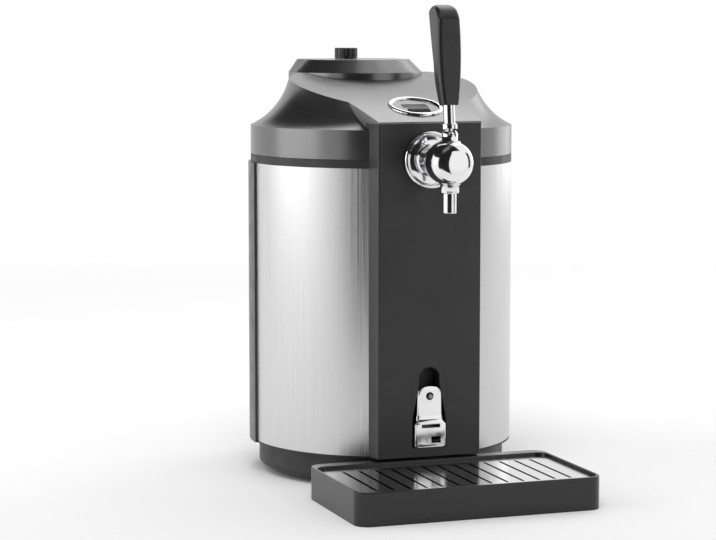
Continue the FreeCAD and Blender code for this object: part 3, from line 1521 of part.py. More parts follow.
def tap_handle():
    """A paddle with a straight front, a back that swells towards the top and a rounded head."""
    piece = body("tap_handle")
    length = dim.handle_length
    foot = dim.handle_foot / 2
    head = dim.handle_head / 2
    back = dim.handle_depth - foot
    side = [
        (-foot, 0), (foot - 1, 0), (foot + 2.5, length * dim.handle_swell, 140),
        (back, length - dim.handle_head_back, -260), (back - 5, length - 0.8, 7),
        (back - 13, length - 1.2, 22), (-foot - 2, length - 15, 19),
    ]
    pad(piece, sketch(piece, "YZ", 0, side), head * 2 + 4, middle=True)
    shoulder = length - dim.handle_shoulder
    crown, flare, corner = dim.handle_crown, dim.handle_flare, dim.handle_head_back
    bow = dim.handle_bow
    front = [
        (foot + flare, -OVERRUN), (head, shoulder, bow), (head - corner, length + OVERRUN, crown),
        (corner - head, length + OVERRUN), (-head, shoulder, crown), (-foot - flare, -OVERRUN, bow),
    ]
    outside = rectangle(-head - 10, head + 10, -2, length + 10)
    pocket(piece, sketch(piece, "XZ", 0, outside, more=[front]), dim.handle_depth * 3, middle=True)
    dress(piece, "Fillet", dim.handle_round, lambda edge: edge.BoundBox.ZMax > 0.5)
    bush = sketch(piece, "XY", 0, circles=[(0, 0, dim.insert_radius)])
    pocket(piece, bush, dim.insert_length + dim.bush_room, reverse=True)
    thread = sketch(piece, "XY", 0, circles=[(0, 0, dim.thread_radius + dim.thread_gap)])
    pocket(piece, thread, dim.insert_length + dim.thread_room, reverse=True)
    return on_lever(piece)


# ---------------------------------------------------------------- bottle opener

def bottle_opener():
    """A cast plate with a loop in front, open above and below, whose bar catches the cap's edge."""
    piece = body("bottle_opener")
    niche_back = PANEL_REACH - dim.niche_depth
    plate_face = niche_back + dim.opener_plate
    plate = arch(OPENER_HALF, OPENER_BOTTOM + dim.plate_rise, OPENER_TOP)
    pad(piece, sketch(piece, "XZ", niche_back, plate), dim.opener_plate)
    half = HOOD_HALF
    front = -PANEL_REACH - dim.hood_reach
    corner = dim.hood_corner
    shoulder = front + corner
    hood = [
        (half, -niche_back - 1), (half, shoulder), (half - corner, front, -corner),
        (corner - half, front), (-half, shoulder, -corner), (-half, -niche_back - 1),
    ]
    pad(piece, sketch(piece, "XY", OPENER_BOTTOM, hood), HOOD_TOP - OPENER_BOTTOM)
    top = number(HOOD_TOP)
    wall = dim.hood_wall
    room = [
        (half - wall, -plate_face), (half - wall, shoulder), (half - corner, front + wall, wall - corner),
        (corner - half, front + wall), (wall - half, shoulder, wall - corner), (wall - half, -plate_face),
    ]
    under = sketch(piece, "XY", OPENER_BOTTOM, room)
    pocket(piece, under, HOOD_TOP - OPENER_BOTTOM, reverse=True)
    sill = OPENER_BOTTOM + dim.window_sill
    window = rectangle(0, dim.window_width, sill, sill + dim.window_height)
    pocket(piece, sketch(piece, "XZ", PANEL_REACH + dim.hood_reach, window), wall + OVERRUN)
    front_of = number(shoulder)
    dress(piece, "Fillet", dim.hood_round, lambda edge: level_at(edge, top) and edge.BoundBox.YMin < front_of)
    hole = sketch(piece, "XZ", plate_face, circles=[(0, OPENER_SCREW, dim.screw_radius)])
    pocket(piece, hole, dim.opener_plate)
    return piece


def opener_screw():
    plate_face = PANEL_FACE + dim.niche_depth - dim.opener_plate
    length = dim.opener_plate + dim.niche_wall + dim.screw_bite
    head, rise, edge = dim.dome_radius, dim.dome_rise, dim.dome_edge
    profile = [
        (0, 0), (dim.screw_radius, 0), (dim.screw_radius, length), (head, length),
        (head, length + edge), (rise, length + rise, rise), (0, length + rise),
    ]
    return turned("opener_screw", profile, 0, plate_face + length, OPENER_SCREW, "-y")


# ---------------------------------------------------------------- drip tray

def tray_plan(inset, back):
    """The tray's plan set in by a distance at the front and sides, up to a straight back."""
    half = dim.tray_width / 2 - inset
    return rounded(-half, half, TRAY_FRONT + inset, back, dim.tray_round - inset)


def drip_tray():
    piece = body("drip_tray")
    pad(piece, sketch(piece, "XY", 0, tray_plan(sized(0), TRAY_BACK)), TRAY_HEIGHT)
    seat_drop = dim.plate_drop + dim.plate_sheet
    pocket(piece, sketch(piece, "XY", TRAY_HEIGHT, tray_plan(dim.tray_wall, SEAT_BACK)), seat_drop)
    sump = tray_plan(dim.tray_wall + dim.ledge_width, SEAT_BACK - dim.ledge_width)
    pocket(piece, sketch(piece, "XY", TRAY_HEIGHT, sump), TRAY_HEIGHT - dim.tray_floor)
    top = number(TRAY_HEIGHT)
    dress(piece, "Fillet", dim.tray_edge, lambda edge: level_at(edge, top))
    return piece


def drip_plate():
    """A stainless plate with rows of slots that lies on the tray's ledge."""
    piece = body("drip_plate")
    bottom = TRAY_HEIGHT - dim.plate_drop - dim.plate_sheet
    back = SEAT_BACK - dim.plate_gap
    pad(piece, sketch(piece, "XY", bottom, tray_plan(dim.tray_wall + dim.plate_gap, back)), dim.plate_sheet)
    low = TRAY_FRONT + dim.tray_wall + dim.slot_end
    high = back - dim.slot_end
    spread = (dim.drip_slots - 1) * dim.drip_step
    left = -spread / 2
    slot = rounded(left - dim.slot_half, left + dim.slot_half, low, high, dim.slot_half - 0.1)
    profile = sketch(piece, "XY", bottom + dim.plate_sheet, slot)
    first = pocket(piece, profile, dim.plate_sheet)
    row(piece, first, profile, "H_Axis", spread, dim.drip_slots.value)
    return piece


# ---------------------------------------------------------------- lid

def roof_line(y):
    """The roof's height and slope in degrees at a distance y behind the keg's axis, front part."""
    start = Vector(number(PANEL_FACE), number(ROOF_FRONT), 0)
    end = Vector(number(CREST_BACK), number(CREST_HEIGHT), 0)
    arc = arc_between(end, start, number(dim.roof_radius))
    centre, radius = arc.Center, arc.Radius
    height = centre.y + math.sqrt(radius ** 2 - (y - centre.x) ** 2)
    return height, math.degrees(math.asin((centre.x - y) / radius))


def hump_plan(inset, taper=0):
    """The hump's plan: a round front and round back corners, its back flush with the lid's."""
    radius = dim.hump_radius - inset - taper
    corner = dim.hump_corner - inset - taper
    middle = HUMP_CENTRE
    back = STEEL_RADIUS - inset
    return [
        (corner - radius, back), (-radius, back - corner, corner),
        (-radius, middle), (0, middle - radius, radius), (radius, middle, radius),
        (radius, back - corner), (radius - corner, back, corner),
    ]


def lid_form(name, inset, bottom):
    """The lid's outside, or with an inset its inside: a flared bell under a sloping roof, and the hump."""
    inset = sized(inset)
    bell = turned(name + "_bell", [
        (0, bottom), (STEEL_RADIUS - inset, bottom), (STEEL_RADIUS - inset, SKIRT_TOP - inset / 2),
        (NECK_RADIUS - inset, NECK_HEIGHT - inset / 2, -dim.flare_radius),
        (NECK_RADIUS - inset - dim.neck_margin, HUMP_SHOULDER), (0, HUMP_SHOULDER),
    ])
    nose_back = dim.nose_back - dim.panel_depth
    nose = prism(name + "_nose", "XY", panel_plan(inset, nose_back), bottom, HUMP_SHOULDER)
    beyond = STEEL_RADIUS + dim.roof_beyond
    roof = prism(name + "_roof", "YZ", [
        (-beyond, bottom - 1), (beyond, bottom - 1), (beyond, ROOF_REAR - inset),
        (CREST_BACK + dim.rear_run, ROOF_REAR - inset), (CREST_BACK, CREST_HEIGHT - inset),
        (PANEL_FACE, ROOF_FRONT - inset, dim.roof_radius), (-beyond, ROOF_FRONT - inset),
    ], -beyond, beyond)
    under_roof = common(name + "_under_roof", fuse(name + "_bell_and_nose", bell, nose), roof)
    base = prism(name + "_hump", "XY", hump_plan(inset), bottom, HUMP_SHOULDER - inset / 2)
    crown = loft(name + "_crown", [
        drawn(name + "_crown_foot", "XY", hump_plan(inset), z=HUMP_SHOULDER - inset / 2),
        drawn(name + "_crown_top", "XY", hump_plan(inset, dim.hump_taper), z=HUMP_TOP - inset),
    ], ruled=True)
    whole = fuse(name + "_whole", under_roof, base, crown)
    gap = dim.lid_gap + inset
    panel = prism(name + "_panel", "XY", panel_plan(-gap, gap), bottom - 1, PANEL_TOP + gap)
    return cut(name, whole, panel)


def boss_places():
    """The (x, y) of the four screw bosses inside the lid."""
    first = dim.boss_angle
    angles = (first, 180 - first, 180 + first, 360 - first)
    return [(BOSS_CIRCLE * cosine(angle), BOSS_CIRCLE * sine(angle)) for angle in angles]


def display_frame():
    """Where the display sits: the point on the roof and the turn that lays it on the slope."""
    y = number(PANEL_FACE + dim.display_setback)
    height, slope = roof_line(y)
    return y, height, Rotation(Vector(1, 0, 0), slope)


def on_roof(item):
    """Moves a piece drawn about the display's centre onto the roof."""
    y, height, turn = display_frame()
    return place(item, 0, y, height, turn)


def lid_shell():
    outside = lid_form("lid_outside", 0, LID_BOTTOM)
    inside = lid_form("lid_inside", dim.lid_wall, LID_BOTTOM - 1)
    skin = cut("lid_skin", outside, inside)
    posts = []
    for x, y in boss_places():
        posts.append(cylinder("lid_boss", dim.boss_radius, dim.boss_length, x, y, LINER_TOP))
    pad_depth = dim.bezel_sink + dim.seat_margin
    seat = on_roof(cylinder("display_seat", dim.bezel_radius + dim.seat_margin, pad_depth))
    y, height, turn = display_frame()
    drop = turn.multVec(Vector(0, 0, -number(pad_depth)))
    place(seat, 0, y + drop.y, height + drop.z, turn)
    added = common("lid_added", outside, fuse("lid_bosses", seat, *posts))
    knuckles = []
    for start in (dim.knuckle_start, -dim.knuckle_start - dim.knuckle_length):
        barrel = cylinder("lid_knuckle", dim.hinge_barrel, dim.knuckle_length,
                          start, HINGE_REACH, HINGE_HEIGHT, "x")
        web = block("lid_web", (start, STEEL_RADIUS - dim.lid_wall, HINGE_HEIGHT - dim.web_drop),
                    (start + dim.knuckle_length, HINGE_REACH, HINGE_HEIGHT + dim.hinge_barrel))
        knuckles += [barrel, web]
    solid = fuse("lid_solid", skin, added, *knuckles)
    recess = on_roof(cylinder("display_recess", dim.bezel_radius + dim.recess_gap, dim.well_length))
    sunk = turn.multVec(Vector(0, 0, -number(dim.bezel_sink)))
    place(recess, 0, y + sunk.y, height + sunk.z, turn)
    well = on_roof(cylinder("display_well", dim.display_well, dim.well_length))
    deep = turn.multVec(Vector(0, 0, -number(dim.well_length) / 2))
    place(well, 0, y + deep.y, height + deep.z, turn)
    neck = cylinder("regulator_hole", dim.regulator_neck, dim.stem_drop * 2,
                    0, KNOB_CENTRE, HUMP_TOP - dim.stem_drop)
    bore = cylinder("hinge_bore", dim.hinge_pin + dim.pin_gap, 2 * (KNUCKLE_END + OVERRUN),
                    -KNUCKLE_END - OVERRUN, HINGE_REACH, HINGE_HEIGHT, "x")
    pilots = [cylinder("lid_pilot", dim.screw_radius, dim.boss_pilot, x, y, LINER_TOP - OVERRUN)
              for x, y in boss_places()]
    return cut("lid_shell", solid, recess, well, neck, bore, *pilots)


def lid_liner():
    """The ring under the lid that carries the gasket and holds the foam in."""
    piece = body("lid_liner")
    lip = WELL_RADIUS + dim.lip_inset
    wall = lip + dim.lip_inset
    lip_top = LINER_TOP + dim.lip_height
    profile = [
        (lip, LID_BOTTOM), (LINER_RADIUS, LID_BOTTOM), (LINER_RADIUS, LINER_TOP),
        (wall, LINER_TOP), (wall, lip_top), (lip, lip_top),
    ]
    revolve(piece, sketch(piece, "XZ", corners=profile))
    gap = dim.lid_gap * 2 + dim.lid_wall
    clear = panel_plan(-gap, gap)
    pocket(piece, sketch(piece, "XY", LINER_TOP, clear), dim.liner_sheet)
    holes = [(x, y, dim.screw_radius) for x, y in boss_places()]
    pocket(piece, sketch(piece, "XY", LINER_TOP, circles=holes), dim.liner_sheet)
    return piece


def lid_foam():
    """A foam ring between the liner's lip and the lid's flare, notched for the screw bosses."""
    piece = body("lid_foam")
    lip = WELL_RADIUS + dim.lip_inset * 2
    top = SKIRT_TOP - dim.foam_drop
    outer, step = LINER_RADIUS - dim.foam_edge, dim.foam_step
    profile = [
        (lip, LINER_TOP), (outer, LINER_TOP), (outer, top - step), (outer - step, top), (lip, top),
    ]
    revolve(piece, sketch(piece, "XZ", corners=profile))
    gap = dim.lid_gap * 2 + dim.lid_wall
    clear = panel_plan(-gap, gap)
    pocket(piece, sketch(piece, "XY", top, clear), top - LINER_TOP)
    holes = [(x, y, dim.boss_radius + dim.boss_room) for x, y in boss_places()]
    pocket(piece, sketch(piece, "XY", top, circles=holes), top - LINER_TOP)
    return piece


def lid_gasket():
    low = LAND_TOP + dim.lid_gap
    inner = WELL_RADIUS + dim.lip_inset
    outer, edge = inner + dim.gasket_width, dim.gasket_round
    return turned("lid_gasket", [
        (inner, low + edge), (inner + edge, low, edge), (outer - edge, low), (outer, low + edge, edge),
        (outer, LID_BOTTOM), (inner, LID_BOTTOM),
    ])


def lid_screws():
    screws = []
    for x, y in boss_places():
        shank = cylinder("lid_screw", dim.screw_radius, dim.boss_pilot, x, y, LID_BOTTOM)
        head = cylinder("lid_screw_head", dim.lid_screw_head, dim.lid_screw_rise, x, y, LID_BOTTOM, "-z")
        screws.append(fuse("lid_screw_solid", shank, head))
    return group("lid_screws", screws)


def hinge_pin():
    reach = KNUCKLE_END + dim.lid_gap + dim.knuckle_length
    return cylinder("hinge_pin", dim.hinge_pin, reach * 2, -reach, HINGE_REACH, HINGE_HEIGHT, "x")


# ---------------------------------------------------------------- display

def display_bezel():
    inner = dim.bezel_radius - dim.bezel_width
    sink = -dim.bezel_sink
    return on_roof(turned("display_bezel", [
        (inner, sink), (dim.bezel_radius, sink), (dim.bezel_radius, dim.bezel_foot),
        (dim.bezel_radius - dim.bezel_rise, dim.bezel_rise, dim.bezel_outer_bow),
        (inner, dim.bezel_lip, dim.bezel_inner_bow),
    ]))


def display_dial():
    """The black face inside the bezel, with a window recess and the button's opening."""
    disc = cylinder("display_disc", dim.bezel_radius - dim.bezel_width, dim.bezel_sink, 0, 0, -dim.bezel_sink)
    foot = -dim.bezel_sink - dim.post_length
    posts = [cylinder("display_post", dim.post_radius, dim.post_length,
                      side * dim.window_half, dim.post_height, foot) for side in (-1, 1)]
    solid = fuse("display_solid", disc, *posts)
    recess = block("display_recess_box", (-dim.window_half, -dim.window_low, -dim.window_sunk),
                   (dim.window_half, dim.window_high, OVERRUN))
    half, room = dim.button_half + dim.button_room, dim.button_room
    opening = block("display_button_box", (-half, -dim.button_low - room, -dim.bezel_sink - OVERRUN),
                    (half, -dim.button_high + room, OVERRUN))
    return on_roof(cut("display_dial", solid, recess, opening))


def display_window():
    half = dim.window_half
    bottom = -dim.window_sunk
    plan = rectangle(-half, half, -dim.window_low, dim.window_high)
    return on_roof(prism("display_window", "XY", plan, bottom, bottom + dim.window_sheet))


def display_board():
    top = -dim.bezel_sink - dim.post_length
    sheet = cylinder("display_board_sheet", dim.board_radius, dim.board_sheet, 0, 0, top - dim.board_sheet)
    switch = block("display_board_switch", (-3, -13, top), (3, -7, -dim.bezel_sink - 2.5))
    digits = block("display_board_digits", (-10, -2, top), (10, 7, -dim.bezel_sink - 0.3))
    return on_roof(fuse("display_board", sheet, switch, digits))


def set_button():
    """A wide push button, kept in by its flange under the dial."""
    half, wide = dim.button_half, dim.flange_wide
    flange_top = -dim.bezel_sink - dim.button_room
    flange_bottom = flange_top - dim.flange_thick
    cap = block("set_button_cap", (-half, -dim.button_low, flange_top - dim.flange_thick / 2),
                (half, -dim.button_high, dim.button_proud))
    flange = block("set_button_flange", (-wide, -dim.flange_low, flange_bottom),
                   (wide, -dim.flange_high, flange_top))
    return on_roof(fuse("set_button", cap, flange))


# ---------------------------------------------------------------- gas regulator

def regulator_body():
    """The regulator under the hump: a body, a neck through the lid, a hose tail and a threaded boss."""
    ceiling = HUMP_TOP - dim.lid_wall
    low = REGULATOR_BOTTOM
    height = ceiling - low
    neck_top = height + dim.lid_wall + dim.neck_rise_above
    outer, edge = dim.regulator_radius, dim.regulator_bevel
    barrel = turned("regulator_barrel", [
        (0, 0), (outer - edge, 0), (outer, edge), (outer, height), (dim.regulator_neck, height),
        (dim.regulator_neck, neck_top), (0, neck_top),
    ], 0, KNOB_CENTRE, low)
    face = KNOB_CENTRE - outer
    boss = cylinder("regulator_boss", dim.sleeve_bore - dim.pin_gap, outer + dim.boss_reach,
                    0, KNOB_CENTRE, SLEEVE_HEIGHT, "-y")
    bore = dim.gas_bore
    tail = turned("regulator_tail", [
        (bore, 0), (dim.tail_shoulder, 0), (dim.tail_shoulder, dim.tail_seat), (dim.gas_tail, dim.tail_seat),
        (dim.gas_tail, dim.tail_end - 1), (dim.gas_tail - 0.8, dim.tail_end), (bore, dim.tail_end),
    ], 0, KNOB_CENTRE, TAIL_HEIGHT, "-x")
    stem = cylinder("regulator_stem_bore", dim.stem_radius + dim.pin_gap, dim.stem_room * 2,
                    0, KNOB_CENTRE, HUMP_TOP - dim.stem_room)
    duct = cylinder("regulator_duct", bore, dim.tail_end + 1, 0, KNOB_CENTRE, TAIL_HEIGHT, "-x")
    inlet = cylinder("regulator_inlet", dim.inlet_bore, dim.inlet_length,
                     0, face - dim.boss_reach - OVERRUN, SLEEVE_HEIGHT, "y")
    return cut("regulator_body", fuse("regulator_solid", barrel, boss, tail), stem, duct, inlet)


def regulator_knob():
    """A fluted knob with a skirt over the regulator's neck and a stem down its middle."""
    radius = dim.knob_radius
    height = dim.knob_height
    edge = dim.knob_edge
    grip = turned("regulator_grip", [
        (0, 0), (radius, 0), (radius, height - edge), (radius - edge, height, edge), (0, height),
    ])
    stem = cylinder("regulator_stem", dim.stem_radius, dim.stem_length, 0, 0, -dim.stem_drop)
    inner, outer, top = dim.stem_radius, dim.regulator_neck + dim.knob_gap, dim.knob_room
    room = turned("regulator_room", [(inner, -OVERRUN), (outer, -OVERRUN), (outer, top), (inner, top)])
    flutes = []
    for index in range(int(dim.knob_flutes.value)):
        angle = sized(360 * index) / dim.knob_flutes
        reach = radius + dim.flute_out
        x, y = reach * cosine(angle), reach * sine(angle)
        flutes.append(cylinder("regulator_flute", dim.flute_radius, height, x, y, dim.flute_foot))
    solid = cut("regulator_cap", grip, room, *flutes)
    return place(fuse("regulator_knob", solid, stem), 0, KNOB_CENTRE, HUMP_TOP + dim.lid_gap)


def cartridge_sleeve():
    """The screwed sleeve for a 16 gram gas cartridge."""
    length = dim.sleeve_length
    radius, bore, dome = dim.sleeve_radius, dim.sleeve_bore, dim.sleeve_dome
    return turned("cartridge_sleeve", [
        (bore, 0), (radius, 0), (radius, length - dome), (radius - dome, length, dome), (0, length),
        (0, length - dim.sleeve_end), (dome, length - dim.sleeve_end), (bore, length - dim.sleeve_seat),
    ], 0, KNOB_CENTRE - dim.regulator_radius - dim.lid_gap, SLEEVE_HEIGHT, "-y")


# ---------------------------------------------------------------- fasteners

def fan_screws():
    """Four long screws through the fan, between the fins and into the heat sink's plate."""
    screws = []
    length = SINK_BACK + dim.fan_depth - SINK_FRONT
    for x, z in fan_screw_offsets():
        shank = cylinder("fan_screw", dim.fan_screw, length, x, SINK_FRONT, FAN_HEIGHT + z, "y")
        head = cylinder("fan_screw_head", dim.fan_head, dim.fan_head_rise,
                        x, SINK_BACK + dim.fan_depth, FAN_HEIGHT + z, "y")
        screws.append(fuse("fan_screw_solid", shank, head))
    return group("fan_screws", screws)


def cover_screws():
    screws = []
    for x, z in cover_screw_places():
        head_back = HOUSING_REACH - dim.head_sunk
        shank = cylinder("cover_screw", dim.screw_radius, dim.cover_screw_length, x, head_back, z, "-y")
        head = cylinder("cover_screw_head", dim.cover_head, dim.cover_head_rise, x, head_back, z, "-y")
        screws.append(fuse("cover_screw_solid", shank, head))
    return group("cover_screws", screws)


# ---------------------------------------------------------------- the whole dispenser

def build_pieces():
    return [
        rubber_feet(), base_pan(), steel_side("steel_left", -BEYOND_STEEL, 0),
        steel_side("steel_right", 0, BEYOND_STEEL),
        top_collar(), keg_well(), well_foam(), front_panel(), rear_cover(),
        rear_frame(), cold_block(), thermoelectric_cell(), heat_sink(), fan_frame(), fan_rotor(),
        temperature_sensor(), power_board(), control_board(), power_inlet(), power_switch(),
        switch_rocker(), tap_washer(), tap_flange(), tap_shank(), tap_nut(), tap_coupling(),
        tap_body(), tap_spout(), tap_bonnet(), tap_plunger(), tap_seal(), tap_lever(),
        handle_insert(), tap_handle(), bottle_opener(), opener_screw(), drip_tray(), drip_plate(),
        lid_shell(), lid_liner(), lid_foam(), lid_gasket(), lid_screws(), hinge_pin(),
        display_bezel(), display_dial(), display_window(), display_board(), set_button(),
        regulator_body(), regulator_knob(), cartridge_sleeve(), fan_screws(), cover_screws(),
    ]


def check_document():
    """Stops on any failed feature, and on a pocket or groove that removed nothing."""
    for item in doc.Objects:
        if "Invalid" in item.State or "Error" in item.State:
            raise RuntimeError(f"{item.Name}: {item.State}")
        base = getattr(item, "BaseFeature", None)
        if base and item.TypeId in ("PartDesign::Pocket", "PartDesign::Groove"):
            if item.Shape.Volume > base.Shape.Volume - 1e-3:
                raise RuntimeError(f"{item.Name} removes nothing")


def main():
    pieces = build_pieces()
    for piece in pieces:
        x, y, z, turn = PLACES.get(piece.Name, (0, 0, 0, None))
        place(piece, x, y + KEG_AXIS, z, turn)
    doc.recompute()
    check_document()
    for piece in pieces:
        if piece.Shape.isNull() or not piece.Shape.isValid() or not piece.Shape.Solids:
            raise RuntimeError(f"{piece.Label}: no valid solid")
    os.makedirs("parts", exist_ok=True)
    for piece in pieces:
        piece.Shape.exportStep(f"parts/{piece.Label}.step")
    print(len(pieces), "pieces written")


main()
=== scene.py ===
"""Finishes and fine parts of a counter-top keg dispenser, laid out as a Blender add-on."""
import math

import bmesh
import bpy
from bpy.props import FloatProperty, FloatVectorProperty, PointerProperty
from mathutils import Matrix, Vector


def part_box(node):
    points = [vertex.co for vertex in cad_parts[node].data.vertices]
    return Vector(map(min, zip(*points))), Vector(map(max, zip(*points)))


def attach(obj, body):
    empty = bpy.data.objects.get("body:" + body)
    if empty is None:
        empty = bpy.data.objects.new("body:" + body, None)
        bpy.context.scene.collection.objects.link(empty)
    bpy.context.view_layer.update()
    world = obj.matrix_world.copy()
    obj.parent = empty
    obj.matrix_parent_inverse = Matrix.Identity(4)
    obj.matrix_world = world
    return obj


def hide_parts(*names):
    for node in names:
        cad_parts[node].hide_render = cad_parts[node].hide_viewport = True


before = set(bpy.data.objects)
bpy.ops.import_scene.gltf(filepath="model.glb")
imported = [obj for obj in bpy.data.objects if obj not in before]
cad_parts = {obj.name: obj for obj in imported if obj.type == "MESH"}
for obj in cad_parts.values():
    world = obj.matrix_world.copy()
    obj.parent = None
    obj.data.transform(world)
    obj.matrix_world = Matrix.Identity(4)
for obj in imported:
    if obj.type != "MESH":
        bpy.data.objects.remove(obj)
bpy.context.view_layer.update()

bl_info = {
    "name": "Keg Dispenser",
    "version": (1, 0, 0),
    "blender": (4, 5, 0),
    "location": "View3D > Sidebar > Dispenser",
    "description": "Finishes a small keg dispenser: steel and plastic cabinet, tap, opener, lid and cooler",
    "category": "Add Mesh",
}

MM = 0.001


# ---------------------------------------------------------------- finishes

class Finish:
    """A procedural material while its nodes are being put together."""

    def __init__(self, name, colour, metallic=0.0, roughness=0.5, **sockets):
        self.material = bpy.data.materials.new(name)
        self.material.use_nodes = True
        self.tree = self.material.node_tree
        self.shader = self.tree.nodes["Principled BSDF"]
        self.shader.inputs["Base Color"].default_value = (*colour, 1)
        self.shader.inputs["Metallic"].default_value = metallic
        self.shader.inputs["Roughness"].default_value = roughness
        for socket, value in sockets.items():
            self.shader.inputs[socket.replace("_", " ").title().replace("Ior", "IOR")].default_value = value
        self.coordinates = self.tree.nodes.new("ShaderNodeTexCoord").outputs["Object"]

    def node(self, kind, **values):
        """Adds a node and sets the inputs that are given by name."""
        made = self.tree.nodes.new("ShaderNode" + kind)
        for name, value in values.items():
            socket = made.inputs[name.replace("_", " ")]
            if isinstance(value, bpy.types.NodeSocket):
                self.tree.links.new(value, socket)
            else:
                socket.default_value = value
        return made

    def stretched(self, stretch):
        return self.node("Mapping", Vector=self.coordinates, Scale=stretch).outputs["Vector"]

    def noise(self, scale, stretch=(1, 1, 1), detail=3.0, roughness=0.55):
        """Cloudy noise, with its spots per metre as the scale."""
        made = self.node("TexNoise", Vector=self.stretched(stretch), Scale=scale, Detail=detail,
                         Roughness=roughness)
        return made.outputs["Fac"]

    def cells(self, scale, stretch=(1, 1, 1)):
        made = self.node("TexVoronoi", Vector=self.stretched(stretch), Scale=scale)
        return made.outputs["Distance"]

    def between(self, factor, low, high, start=0.35, end=0.65):
        """A number that runs from low to high as the factor runs from start to end."""
        made = self.node("MapRange")
        self.tree.links.new(factor, made.inputs[0])
        for index, value in enumerate((start, end, low, high), start=1):
            made.inputs[index].default_value = value
        return made.outputs["Result"]

    def tint(self, factor, low, high, start=0.35, end=0.65):
        """Colours the surface between two colours."""
        ramp = self.node("ValToRGB", Fac=factor)
        ramp.color_ramp.elements[0].position = start
        ramp.color_ramp.elements[0].color = (*low, 1)
        ramp.color_ramp.elements[1].position = end
        ramp.color_ramp.elements[1].color = (*high, 1)
        self.tree.links.new(ramp.outputs["Color"], self.shader.inputs["Base Color"])
        return self

    def shine(self, factor, low, high):
        """Varies the roughness."""
        self.tree.links.new(self.between(factor, low, high), self.shader.inputs["Roughness"])
        return self

    def relief(self, height, depth, strength=1.0):
        """Raises the surface by a height between 0 and 1 times a depth in metres."""
        bump = self.node("Bump", Strength=strength, Distance=depth, Height=height)
        self.tree.links.new(bump.outputs["Normal"], self.shader.inputs["Normal"])
        return self


def shade(colour, factor):
    return tuple(channel * factor for channel in colour)


def moulded_plastic(name, colour, roughness, grain=2600, depth=0.00003, ior=1.5, wear=0.14):
    """Moulded plastic with a fine even texture and faint cloudy wear."""
    made = Finish(name, colour, roughness=roughness, Ior=ior)
    cloud = made.noise(14, detail=4)
    made.tint(cloud, shade(colour, 1 - wear), shade(colour, 1 + wear))
    made.shine(made.noise(60), roughness * (1 - wear), min(roughness * (1 + wear), 1))
    return made.relief(made.noise(grain, detail=2), depth, 0.5).material


def brushed_metal(name, colour, roughness, stretch, anisotropy=0.6, depth=0.000012):
    """Sheet metal brushed along one direction: fine streaks in colour, shine and relief."""
    made = Finish(name, colour, metallic=1.0, roughness=roughness, Anisotropic=anisotropy)
    streaks = made.noise(1, stretch, detail=5, roughness=0.7)
    made.tint(streaks, shade(colour, 0.9), shade(colour, 1.05), 0.25, 0.75)
    made.shine(streaks, roughness * 0.75, roughness * 1.25)
    return made.relief(streaks, depth, 0.35).material


def polished_metal(name, colour, roughness=0.06, smear=0.08):
    """Plated and polished metal with slight handling smears."""
    made = Finish(name, colour, metallic=1.0, roughness=roughness)
    made.tint(made.noise(35), shade(colour, 0.95), colour)
    return made.shine(made.noise(90, detail=6), roughness, roughness + smear).material


def cast_metal(name, colour, roughness=0.42):
    """Bare aluminium or plated steel with a fine grain."""
    made = Finish(name, colour, metallic=1.0, roughness=roughness)
    made.tint(made.noise(240, detail=5), shade(colour, 0.84), colour)
    made.shine(made.noise(500), roughness * 0.8, roughness * 1.2)
    return made.relief(made.noise(1400), 0.00002, 0.5).material


def soft_rubber(name, colour=(0.018, 0.018, 0.018)):
    made = Finish(name, colour, roughness=0.85, Specular_Ior_Level=0.3)
    made.tint(made.noise(80, detail=5), shade(colour, 0.8), shade(colour, 1.7))
    return made.relief(made.noise(1800), 0.00004, 0.6).material


def rigid_foam(name, colour=(0.83, 0.78, 0.6)):
    """Rigid foam: fine open cells and a slightly yellow, uneven skin."""
    made = Finish(name, colour, roughness=0.9)
    made.tint(made.noise(22, detail=5), shade(colour, 0.86), colour)
    return made.relief(made.cells(620), 0.0004, 0.7).material


def circuit_board(name, colour=(0.012, 0.09, 0.035)):
    """Solder-masked board: copper runs show lighter through the green."""
    made = Finish(name, colour, roughness=0.32)
    runs = made.node("TexBrick", Vector=made.stretched((1, 1, 1)), Scale=150.0).outputs["Fac"]
    made.tint(runs, colour, shade(colour, 1.9), 0.2, 0.8)
    return made.relief(runs, 0.00005, 0.6).material


def window_glass(name):
    """A dark display window with a thin sheen."""
    made = Finish(name, (0.004, 0.004, 0.005), roughness=0.05, Specular_Ior_Level=0.12)
    return made.shine(made.noise(70), 0.03, 0.09).material


FINISHES = {}

# spots per metre along X, Y and Z: the brushing runs where they are fewest
UPRIGHT_BRUSHING = (850, 850, 5)
LENGTHWISE_BRUSHING = (900, 8, 900)
LEVEL_BRUSHING = (5, 5, 700)


